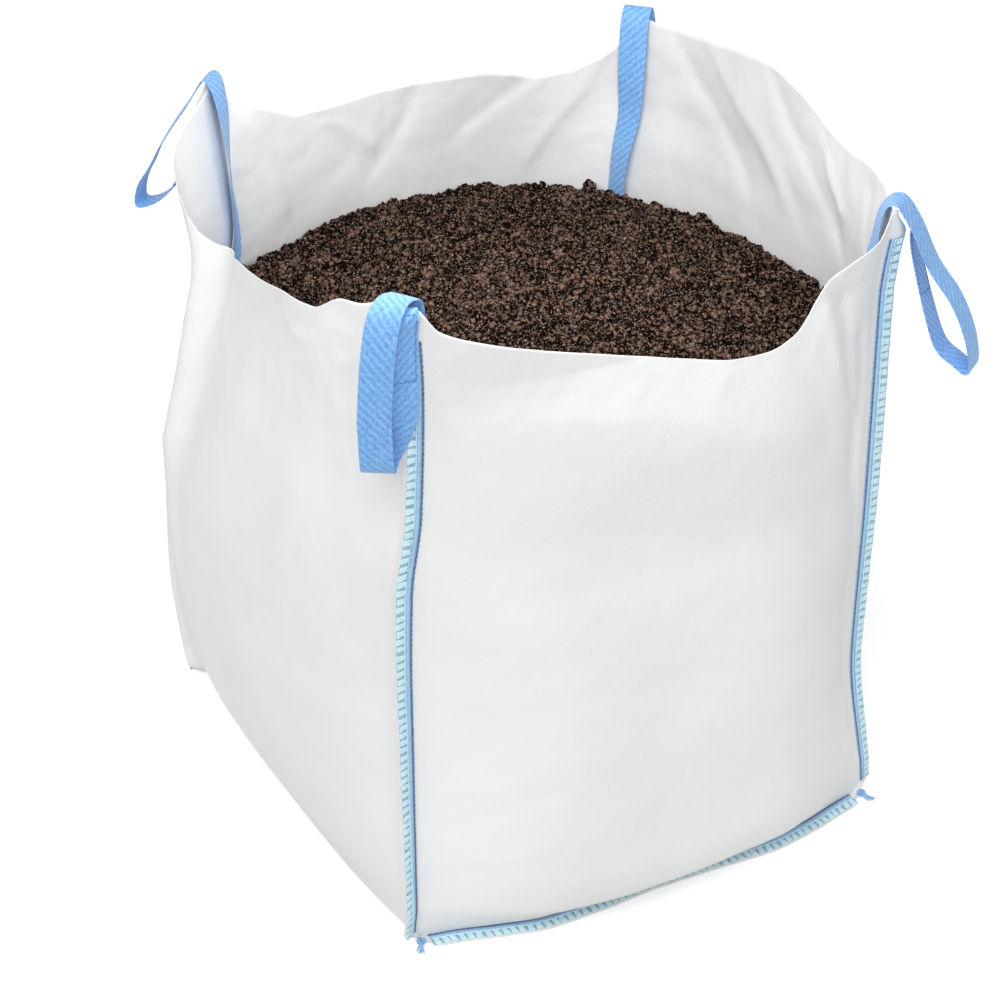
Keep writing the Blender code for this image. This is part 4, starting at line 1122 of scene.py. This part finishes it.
def build_loop(corner):
    """One loop of flat webbing with rounded edges, and stitches near its outer end."""
    setting = bpy.context.scene.bag_loop
    centres, across, face, travel = strap_frame(corner, LOOP_STATIONS)
    width, thick = setting.width, setting.thickness
    place = np.sin(np.linspace(-math.pi / 2, math.pi / 2, 15))
    round_edge = np.sqrt(np.maximum(0, 1 - abs(place) ** 10))
    rib = 1 + 0.06 * np.cos(place * width / 2 / 0.0045 * 2 * math.pi)
    half = thick / 2 * round_edge * rib
    top_place, low_place = place, place[::-1][1:-1]
    ring_place = np.concatenate([top_place, low_place])
    ring_lift = np.concatenate([half, -half[::-1][1:-1]])
    seed = list(CORNERS).index(corner)
    cup = 0.0006 * grain(travel * 12, travel * 0 + seed, 91)[:, None] * ring_place**2
    wander = 0.0005 * grain(travel * 30, travel * 0 + seed, 92)[:, None]
    points = (
        centres[:, None]
        + across[:, None] * (ring_place * width / 2 + wander)[..., None]
        + face[:, None] * (ring_lift[None, :] + cup)[..., None]
    )
    webbing = points.reshape(-1, 3)
    faces = pipe_faces(len(centres), len(ring_place))
    kinds = [0] * len(faces)
    uv = np.stack(np.broadcast_arrays(
        ring_place[None, :] * width / 2, travel[:, None]), -1).reshape(-1, 2)
    lines = []
    arch = (thick / 2 + 0.0002 + 0.0004 * np.sin(np.linspace(0, math.pi, 5)))[:, None]

    def stitch(marks, shares):
        """Add one stitch on both faces of the webbing."""
        middle, side, way = (
            np.stack([np.interp(marks, travel, values[:, c]) for c in range(3)], -1)
            for values in (centres, across, face)
        )
        at = middle + side * (shares * width / 2)[:, None]
        lines.extend((at + way * arch, at - way * arch))

    sewn = (travel[-1] - STITCHES_FROM, travel[-1] - STITCHES_TO)
    for side in (-1, 1):
        for dash in np.arange(*sewn, 0.007):
            stitch(np.linspace(dash, dash + 0.0052, 5), np.full(5, 0.82 * side))
    for mark in sewn:
        for dash in np.arange(-0.8, 0.8, 0.27):
            stitch(np.full(5, mark), np.linspace(dash, dash + 0.2, 5))
    stitches, stitch_faces, stitch_uv = tubes(lines, 0.0005, 5)
    faces += [[n + len(webbing) for n in f] for f in stitch_faces]
    kinds += [1] * len(stitch_faces)
    materials = [material_once("blue webbing", webbing_material), thread("navy thread")]
    obj = new_object(
        f"loop_{corner}", np.concatenate([webbing, stitches]), faces, materials,
        np.concatenate([uv, stitch_uv]), kinds,
    )
    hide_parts(f"lift_loop_{corner}")


def build_knot(corner):
    """Thread tied off at a bottom corner: a lump of turns and a short tail of strands."""
    low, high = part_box(f"thread_knot_{corner}")
    side_x = CORNERS[corner][0]
    radius = 0.0062
    centre = np.array([
        (low.x + radius) if side_x > 0 else (high.x - radius), high.y - radius, low.z + radius
    ])
    lines = []
    t = np.linspace(0, 2 * math.pi, 90)
    for turn, (p, q) in enumerate(((2, 5), (3, 7))):
        wide = 0.0042 + 0.0010 * turn
        ring = wide + 0.0023 * np.cos(q * t)
        knot = np.stack([ring * np.cos(p * t), ring * np.sin(p * t), 0.0026 * np.sin(q * t)], -1)
        lines.append(centre + knot)
    way = np.array([side_x * 0.5, -1.0, 0.0])
    way /= np.linalg.norm(way)
    aside = np.cross(way, UP)
    length = 0.026
    for k in range(7):
        u = np.linspace(0, 1, 12)
        spread = (k - 3) * 0.0008
        curl = 0.0016 * np.sin(3 * u + k * 1.9)
        droop = -(centre[2] - 0.0022 - 0.0006 * (k % 3)) * ease(u * 1.6)
        reach = length * (0.75 + 0.25 * math.sin(k * 2.1) ** 2)
        lines.append(
            centre + way * (u * reach)[:, None] + aside * (spread * (1 + u) + curl)[:, None]
            + UP * droop[:, None]
        )
    points, faces, uv = tubes(lines, 0.0010, 6)
    obj = new_object(f"knot_{corner}", points, faces, [thread("sky thread")], uv)
    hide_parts(f"thread_knot_{corner}")


def fill_edge(wall, share, level, inset):
    """Where the fill meets a wall's sheet, a little inside it."""
    facing = wall_facing(wall)
    points = wall_surface(wall, share, wall_height(wall, share, level))
    inward = np.array([0.0, 1.0, 0.0])
    if wall in ("front", "back"):
        points = points + facing * LAYER
        inward = np.array([1.0, 0.0, 0.0])
    return points - facing * inset + inward * inset * (1 - 2 * share)[:, None]


def lump_heights(x, y, seed):
    """Height of the crumb over the fill's level: clods, lumps and crumbs piled together."""
    setting = bpy.context.scene.bag_fill
    rng = np.random.default_rng(seed)
    ground = 0.008 * layered(x * 8, y * 8, 2, 5) + 0.0095 * layered(x * 24, y * 24, 2, 8)
    ground = ground + 0.0040 * layered(x * 70, y * 70, 2, 14)
    height = ground.copy()
    left, right, low, high = x.min(), x.max(), y.min(), y.max()
    rows, columns = x.shape
    for _ in range(setting.clods):
        size = 0.0040 + 0.0160 * rng.random() ** 4
        cx, cy = rng.uniform(left, right), rng.uniform(low, high)
        i = int((cy - low) / (high - low) * rows)
        j = int((cx - left) / (right - left) * columns)
        reach = int(size / 0.0030) + 4
        part = (slice(max(0, i - reach), i + reach), slice(max(0, j - reach), j + reach))
        if height[part].size == 0:
            continue
        stretch = rng.uniform(0.7, 1.3)
        turn = rng.uniform(0, math.pi)
        dx, dy = x[part] - cx, y[part] - cy
        a = (dx * math.cos(turn) + dy * math.sin(turn)) * stretch
        b = (dy * math.cos(turn) - dx * math.sin(turn)) / stretch
        dome = size**2 - a**2 - b**2
        base = ground[part].mean() - size * rng.uniform(0.35, 0.75)
        top = np.where(dome > 0, base + np.sqrt(np.maximum(dome, 0)), -1)
        height[part] = np.maximum(height[part], top)
    return height + 0.0030 * layered(x * 110, y * 110, 1, 12) + rng.normal(0, 0.0014, x.shape)


def build_fill():
    """The compost: a rough crown above, and the shape of the bag below."""
    setting = bpy.context.scene.bag_fill
    side = setting.crown_cells
    share = np.linspace(0, 1, side)
    front, back, left, right = (
        fill_edge(wall, share, np.ones(side), FILL_INSET)
        for wall in ("front", "back", "left", "right")
    )
    u, v = share[None, :, None], share[:, None, None]
    across = left[:, None] * (1 - u) + right[:, None] * u
    along = front[None] * (1 - v) + back[None] * v
    flat = (front[0] * (1 - u) + front[-1] * u) * (1 - v) + (back[0] * (1 - u) + back[-1] * u) * v
    crown = across + along - flat
    x, y = crown[..., 0], crown[..., 1]
    crown[..., 2] = fill_level(x, y) + lump_heights(x, y, setting.seed)
    loose = np.random.default_rng(setting.seed + 3)
    crown[1:-1, 1:-1, :2] += loose.uniform(-0.0012, 0.0012, (side - 2, side - 2, 2))
    points = [crown.reshape(-1, 3)]
    numbers = np.arange(side * side).reshape(side, side)
    faces = grid_faces(numbers).tolist()
    border = np.concatenate([
        numbers[0, :-1], numbers[:-1, -1], numbers[-1, :0:-1], numbers[:0:-1, 0],
    ])
    rings = []
    for level, inset in FILL_BODY:
        edges = {w: fill_edge(w, share, np.full(side, level), inset) for w in WALLS}
        rings.append(np.concatenate([
            edges["front"][:-1], edges["right"][:-1], edges["back"][:0:-1], edges["left"][:0:-1],
        ]))
    rings.append(rings[-1] * [0.98, 0.98, 0] + [0, 0, 0.0035])
    ring, count = border, side * side
    for loop in rings:
        below = count + np.arange(len(loop))
        faces += np.stack([ring, below, np.roll(below, -1), np.roll(ring, -1)], -1).tolist()
        points.append(loop)
        ring = below
        count += len(loop)
    faces.append(ring[::-1].tolist())
    material = material_once("compost crumb", compost_material)
    obj = new_object("compost_fill", np.concatenate(points), faces, [material], smooth=False)
    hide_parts("compost")
    return crown


def crumb_shapes():
    """Corners and faces of a small round of 20 faces, and of one of 80."""
    made = []
    for level in (1, 2):
        shape = bpy.data.meshes.new("crumb")
        draft = bmesh.new()
        bmesh.ops.create_icosphere(draft, subdivisions=level, radius=1.0)
        draft.to_mesh(shape)
        draft.free()
        corners = np.array([v.co[:] for v in shape.vertices])
        sides = np.array([p.vertices[:] for p in shape.polygons])
        bpy.data.meshes.remove(shape)
        made.append((corners, sides))
    return made


def scatter_crumbs(crown):
    """Loose crumbs and small clods on top of the fill."""
    setting = bpy.context.scene.bag_fill
    rng = np.random.default_rng(setting.seed + 1)
    side = crown.shape[0]
    points, faces = [], []
    count = 0
    for (corners, sides), number, small, large in (
        (crumb_shapes()[0], setting.crumbs, 0.0016, 0.0052),
        (crumb_shapes()[1], setting.crumbs // 16, 0.0045, 0.0120),
    ):
        for _ in range(number):
            i, j = rng.integers(4, side - 4, 2)
            size = small + (large - small) * rng.random() ** 2.5
            turn, _ = np.linalg.qr(rng.normal(size=(3, 3)))
            rough = 1 + rng.uniform(-0.24, 0.24, (len(corners), 1))
            body = corners * rough * rng.uniform(0.6, 1.15, 3) @ turn * size
            place = crown[i, j] + UP * size * rng.uniform(-0.1, 0.7)
            points.append(body + place)
            faces.append(sides + count)
            count += len(corners)
    material = material_once("compost crumb", compost_material)
    obj = new_object(
        "compost_crumbs", np.concatenate(points), np.concatenate(faces).tolist(), [material],
        smooth=False,
    )


def scatter_fibres(crown):
    """Short pale fibres and slivers lying among the crumbs."""
    setting = bpy.context.scene.bag_fill
    rng = np.random.default_rng(setting.seed + 2)
    side = crown.shape[0]
    lines = []
    for _ in range(setting.fibres):
        i, j = rng.integers(8, side - 8, 2)
        length = rng.uniform(0.004, 0.012)
        angle = rng.uniform(0, 2 * math.pi)
        u = np.linspace(-0.5, 0.5, 6)
        bend = rng.uniform(-0.3, 0.3)
        along = np.stack([np.cos(angle + bend * u), np.sin(angle + bend * u), 0.25 * u], -1)
        lines.append(crown[i, j] + UP * 0.0012 + along * (u * length)[:, None])
    points, faces, uv = tubes(lines, 0.00050, 4)
    obj = new_object(
        "compost_fibres", points, faces, [material_once("plant fibre", fibre_material)], uv
    )


def build_floor():
    """A wide pale floor, white to the camera but for the bag's shadow."""
    setting = bpy.context.scene.bag_stage
    mesh = bpy.data.meshes.new("floor")
    reach = FLOOR_REACH
    mesh.from_pydata(
        [(-reach, -reach, 0), (reach, -reach, 0), (reach, reach, 0), (-reach, reach, 0)],
        [], [(0, 1, 2, 3)],
    )
    floor = bpy.data.objects.new("floor", mesh)
    bpy.context.scene.collection.objects.link(floor)
    material, tree, shader = new_material("pale floor", (0.80, 0.80, 0.80), 0.9, 0.0, 0.1)
    path = add_node(tree, "ShaderNodeLightPath")
    place = add_node(tree, "ShaderNodeTexCoord").outputs["Object"]
    grit = add_texture(tree, "ShaderNodeTexNoise", place, Scale=6.0, Detail=3.0)
    tone = blend_colours(tree, grit.outputs["Fac"], (0.79, 0.79, 0.79), (0.81, 0.81, 0.81))
    tree.links.new(tone.outputs["Color"], shader.inputs["Base Color"])
    white = add_node(tree, "ShaderNodeBsdfDiffuse", Color=(1.0, 1.0, 1.0, 1.0))
    glow = add_node(tree, "ShaderNodeEmission", Strength=setting.floor_glow)
    seen = add_node(tree, "ShaderNodeAddShader")
    tree.links.new(white.outputs["BSDF"], seen.inputs[0])
    tree.links.new(glow.outputs["Emission"], seen.inputs[1])
    mixed = add_node(tree, "ShaderNodeMixShader")
    tree.links.new(path.outputs["Is Camera Ray"], mixed.inputs["Fac"])
    tree.links.new(shader.outputs["BSDF"], mixed.inputs[1])
    tree.links.new(seen.outputs["Shader"], mixed.inputs[2])
    tree.links.new(mixed.outputs["Shader"], tree.nodes["Material Output"].inputs["Surface"])
    mesh.materials.append(material)


def build_sky():
    """Even light from all round, which the camera and gloss see as white."""
    world = bpy.data.worlds.new("soft studio")
    bpy.context.scene.world = world
    world.use_nodes = True
    sky = world.node_tree
    even = sky.nodes["Background"]
    even.inputs["Color"].default_value = (0.98, 0.99, 1.0, 1.0)
    even.inputs["Strength"].default_value = bpy.context.scene.bag_stage.sky
    white = add_node(sky, "ShaderNodeBackground", Color=(1.0, 1.0, 1.0, 1.0), Strength=1.0)
    path = add_node(sky, "ShaderNodeLightPath")
    seen = add_node(sky, "ShaderNodeMath", operation="MAXIMUM")
    sky.links.new(path.outputs["Is Camera Ray"], seen.inputs[0])
    sky.links.new(path.outputs["Is Glossy Ray"], seen.inputs[1])
    mixed = add_node(sky, "ShaderNodeMixShader")
    sky.links.new(seen.outputs["Value"], mixed.inputs["Fac"])
    sky.links.new(even.outputs["Background"], mixed.inputs[1])
    sky.links.new(white.outputs["Background"], mixed.inputs[2])
    sky.links.new(mixed.outputs["Shader"], sky.nodes["World Output"].inputs["Surface"])


def place_on_stage(name, data, location, degrees):
    """Put a lamp or camera in the scene, turned by degrees about each axis."""
    obj = bpy.data.objects.new(name, data)
    obj.location = location
    obj.rotation_euler = [math.radians(angle) for angle in degrees]
    bpy.context.scene.collection.objects.link(obj)
    return obj


def build_lamps():
    """A soft key lamp from the left, and a dim panel over the bag's open mouth."""
    setting = bpy.context.scene.bag_stage
    key = bpy.data.lights.new("soft key", "SUN")
    key.energy = setting.key
    key.angle = math.radians(45)
    place_on_stage("soft key", key, (-2.0, -2.2, 3.0), (46, 0, -38))
    mouth = bpy.data.lights.new("mouth lamp", "AREA")
    mouth.shape = "RECTANGLE"
    mouth.size, mouth.size_y = 0.70, 0.30
    mouth.energy = setting.mouth
    lamp = place_on_stage("mouth lamp", mouth, (-0.25, -0.42, 1.50), (63, 0, -21))
    lamp.visible_camera = False


def build_camera():
    """The camera, where the photograph was taken from."""
    lens = bpy.data.cameras.new("view")
    lens.lens = bpy.context.scene.bag_stage.lens
    lens.sensor_width = 36.0
    lens.clip_end = 100.0
    bpy.context.scene.camera = place_on_stage(
        "view", lens, CAMERA_PLACE, (90 - CAMERA_DOWN, 0, CAMERA_TURN)
    )


def length_setting(name, description, default):
    """A setting that holds a length in metres."""
    return bpy.props.FloatProperty(
        name=name, description=description, default=default, min=0.0, precision=4,
        unit="LENGTH",
    )


def colour_setting(name, description, default):
    """A setting that holds a colour."""
    return bpy.props.FloatVectorProperty(
        name=name, description=description, default=default, size=3, min=0.0, max=1.0,
        subtype="COLOR",
    )


def count_setting(name, description, default, **limits):
    """A setting that holds a number of things."""
    return bpy.props.IntProperty(
        name=name, description=description, default=default, **limits
    )


def strength_setting(name, description, default, **more):
    """A setting that holds a strength or a factor."""
    return bpy.props.FloatProperty(
        name=name, description=description, default=default, **{"min": 0.0, **more}
    )


class BagSheetSettings(bpy.types.PropertyGroup):
    """Sizes and colours of the woven sheets"""
    fold_scale: strength_setting(
        "Fold scale", "How deep the drawn folds of the sheets are", 1.0, max=3.0,
        subtype="FACTOR")
    crease_depth: length_setting(
        "Crease depth", "Depth of the small creases all over the sheets", 0.0016)
    pucker_depth: length_setting(
        "Pucker depth", "Depth of the short puckers beside the seams", 0.0022)
    tape_width: length_setting(
        "Tape width", "Width of the flat tapes that the sheet is woven from", 0.0025)
    white: colour_setting("White", "Sheet where it is cleanest", (0.825, 0.825, 0.82))
    white_dark: colour_setting("Duller white", "Sheet in its duller patches", (0.765, 0.765, 0.76))


class BagSeamSettings(bpy.types.PropertyGroup):
    """Sizes and colours of the seams"""
    stitch_pitch: length_setting(
        "Stitch pitch", "Distance from one rung of the ladder to the next", 0.0140)
    rung_width: length_setting(
        "Rung width", "Width of one bundle of thread across the edge", 0.0098)
    rung_strands: count_setting(
        "Rung strands", "Strands of thread side by side in one rung", 4, min=1, max=8)
    chain_pitch: length_setting("Chain pitch", "Length of one loop of the sewing line", 0.0090)
    navy: colour_setting("Navy", "Thread of the sewing line", (0.10, 0.20, 0.42))
    navy_dark: colour_setting("Dark navy", "The same in its dark spots", (0.04, 0.09, 0.22))
    sky: colour_setting("Sky blue", "Needle thread and knots", (0.30, 0.56, 0.86))
    sky_dark: colour_setting("Dark sky blue", "The same in its dark spots", (0.18, 0.40, 0.70))
    tape: colour_setting("Tape", "Strip beside the sewing line", (0.36, 0.62, 0.88))
    tape_dark: colour_setting("Dark tape", "The same in its dark spots", (0.27, 0.52, 0.82))
    ladder: colour_setting("Ladder", "Thread of the overlock", (0.68, 0.88, 0.96))
    ladder_dark: colour_setting("Dark ladder", "The same in its dark spots", (0.52, 0.78, 0.92))
    # Bed colours: partly the teal under-thread, partly painted shade between the rungs of the
    # ladder.
    bed_and_painted_shade: colour_setting("Bed", "Thread that lies under the ladder", (0.30, 0.52, 0.60))
    bed_and_painted_shade_dark: colour_setting("Dark bed", "The same in its dark spots", (0.20, 0.40, 0.50))


class BagLoopSettings(bpy.types.PropertyGroup):
    """Sizes and colours of the lift loops"""
    width: length_setting("Width", "Width of the webbing", 0.050)
    thickness: length_setting("Thickness", "Thickness of the webbing", 0.0024)
    rib_width: length_setting("Rib width", "Width of one cord of the weave", 0.0030)
    blue: colour_setting("Blue", "Webbing on its raised cords", (0.27, 0.53, 0.88))
    blue_dark: colour_setting("Dark blue", "Webbing between its cords", (0.10, 0.29, 0.66))


class BagFillSettings(bpy.types.PropertyGroup):
    """Amounts and colours of the compost"""
    crown_cells: count_setting(
        "Crown points", "Points along each side of the fill's top", 256, min=20, max=300)
    clods: count_setting("Clods", "Lumps raised in the top of the fill", 7500, min=0)
    crumbs: count_setting("Crumbs", "Loose crumbs on the fill", 7600, min=0)
    fibres: count_setting("Fibres", "Pale fibres among the crumbs", 420, min=0)
    seed: count_setting("Seed", "Picks the scatter", 7, min=0)
    grain: colour_setting("Grain", "Brown of the grains", (0.215, 0.130, 0.098))
    # Near-black gap colour: partly the compost's dark tone, partly painted shade in the gaps
    # between the grains.
    gap: colour_setting("Gap", "Near-black of the gaps between them", (0.0060, 0.0036, 0.0027))
    # Pale speck colour: partly tan bits, partly painted glints on the grains.
    speck: colour_setting("Speck", "Pale specks among the grains", (0.40, 0.275, 0.220))
    fibre: colour_setting("Fibre", "Fibres where they are pale", (0.42, 0.31, 0.25))
    fibre_dark: colour_setting("Dark fibre", "Fibres where they are dark", (0.15, 0.10, 0.07))


class BagStageSettings(bpy.types.PropertyGroup):
    """Strengths of the light, and the camera's lens"""
    sky: strength_setting("Even light", "Strength of the light from all round", 0.62)
    key: strength_setting("Lamp strength", "Strength of the soft lamp from one side", 1.55)
    mouth: strength_setting(
        "Mouth lamp", "Power of the soft lamp over the open mouth", 6.0, unit="POWER")
    floor_glow: strength_setting(
        "Floor glow", "How much the floor is brightened to the camera alone", 0.24)
    lens: strength_setting(
        "Lens", "Focal length in millimetres on a 36 mm sensor", 108.0, min=1.0,
        unit="CAMERA")


class BAG_OT_u_sheet(bpy.types.Operator):
    """Build the sheet that makes the left side, the base and the right side"""
    bl_idname = "bag.u_sheet"
    bl_label = "Folded sheet"

    def execute(self, context):
        build_u_sheet()
        return {"FINISHED"}


class BAG_OT_end_sheets(bpy.types.Operator):
    """Build the front and back sheets with their margins"""
    bl_idname = "bag.end_sheets"
    bl_label = "Front and back sheets"

    def execute(self, context):
        for wall, seam in seam_lines().items():
            build_end_sheet(wall, seam)
        return {"FINISHED"}


class BAG_OT_seams(bpy.types.Operator):
    """Sew both seams: the chain stitch, the pale strip and the overlock ladder"""
    bl_idname = "bag.seams"
    bl_label = "Seams"

    def execute(self, context):
        for seam in seam_lines().values():
            build_chain_stitch(seam)
            build_seam_tape(seam)
            build_ladder(seam)
        return {"FINISHED"}


class BAG_OT_loops(bpy.types.Operator):
    """Build the four webbing loops"""
    bl_idname = "bag.loops"
    bl_label = "Lift loops"

    def execute(self, context):
        for corner in CORNERS:
            build_loop(corner)
        return {"FINISHED"}


class BAG_OT_knots(bpy.types.Operator):
    """Tie off the threads at the two front bottom corners"""
    bl_idname = "bag.knots"
    bl_label = "Thread knots"

    def execute(self, context):
        for corner in ("front_left", "front_right"):
            build_knot(corner)
        return {"FINISHED"}


class BAG_OT_fill(bpy.types.Operator):
    """Fill the bag with compost, with loose crumbs and fibres on top"""
    bl_idname = "bag.fill"
    bl_label = "Compost"

    def execute(self, context):
        crown = build_fill()
        scatter_crumbs(crown)
        scatter_fibres(crown)
        return {"FINISHED"}


class BAG_OT_stage(bpy.types.Operator):
    """Set up the floor, the soft light and the camera"""
    bl_idname = "bag.stage"
    bl_label = "Stage"

    def execute(self, context):
        context.scene.view_settings.view_transform = "Standard"
        build_floor()
        build_sky()
        build_lamps()
        build_camera()
        return {"FINISHED"}


class BAG_PT_panel(bpy.types.Panel):
    """Lists the steps that build the bag, and their settings"""
    bl_idname = "BAG_PT_panel"
    bl_label = "Bulk Bag"
    bl_space_type = "VIEW_3D"
    bl_region_type = "UI"
    bl_category = "Bulk Bag"

    def draw(self, context):
        for step in STEPS:
            self.layout.operator(step.bl_idname)
        for name, group in SETTINGS.items():
            box = self.layout.box()
            for setting in group.__annotations__:
                box.prop(getattr(context.scene, name), setting)


STEPS = (
    BAG_OT_u_sheet, BAG_OT_end_sheets, BAG_OT_seams, BAG_OT_loops, BAG_OT_knots,
    BAG_OT_fill, BAG_OT_stage,
)
SETTINGS = {
    "bag_sheet": BagSheetSettings,
    "bag_seam": BagSeamSettings,
    "bag_loop": BagLoopSettings,
    "bag_fill": BagFillSettings,
    "bag_stage": BagStageSettings,
}


def register():
    """Add the settings, the steps and the panel to Blender."""
    for name, group in SETTINGS.items():
        bpy.utils.register_class(group)
        setattr(bpy.types.Scene, name, bpy.props.PointerProperty(type=group))
    for step in STEPS:
        bpy.utils.register_class(step)
    bpy.utils.register_class(BAG_PT_panel)


def unregister():
    """Take them away again."""
    bpy.utils.unregister_class(BAG_PT_panel)
    for step in reversed(STEPS):
        bpy.utils.unregister_class(step)
    for name, group in reversed(SETTINGS.items()):
        delattr(bpy.types.Scene, name)
        bpy.utils.unregister_class(group)


def main():
    """Build every piece and the stage."""
    register()
    bpy.ops.bag.u_sheet()
    bpy.ops.bag.end_sheets()
    bpy.ops.bag.seams()
    bpy.ops.bag.loops()
    bpy.ops.bag.knots()
    bpy.ops.bag.fill()
    bpy.ops.bag.stage()


if __name__ == "__main__":
    main()
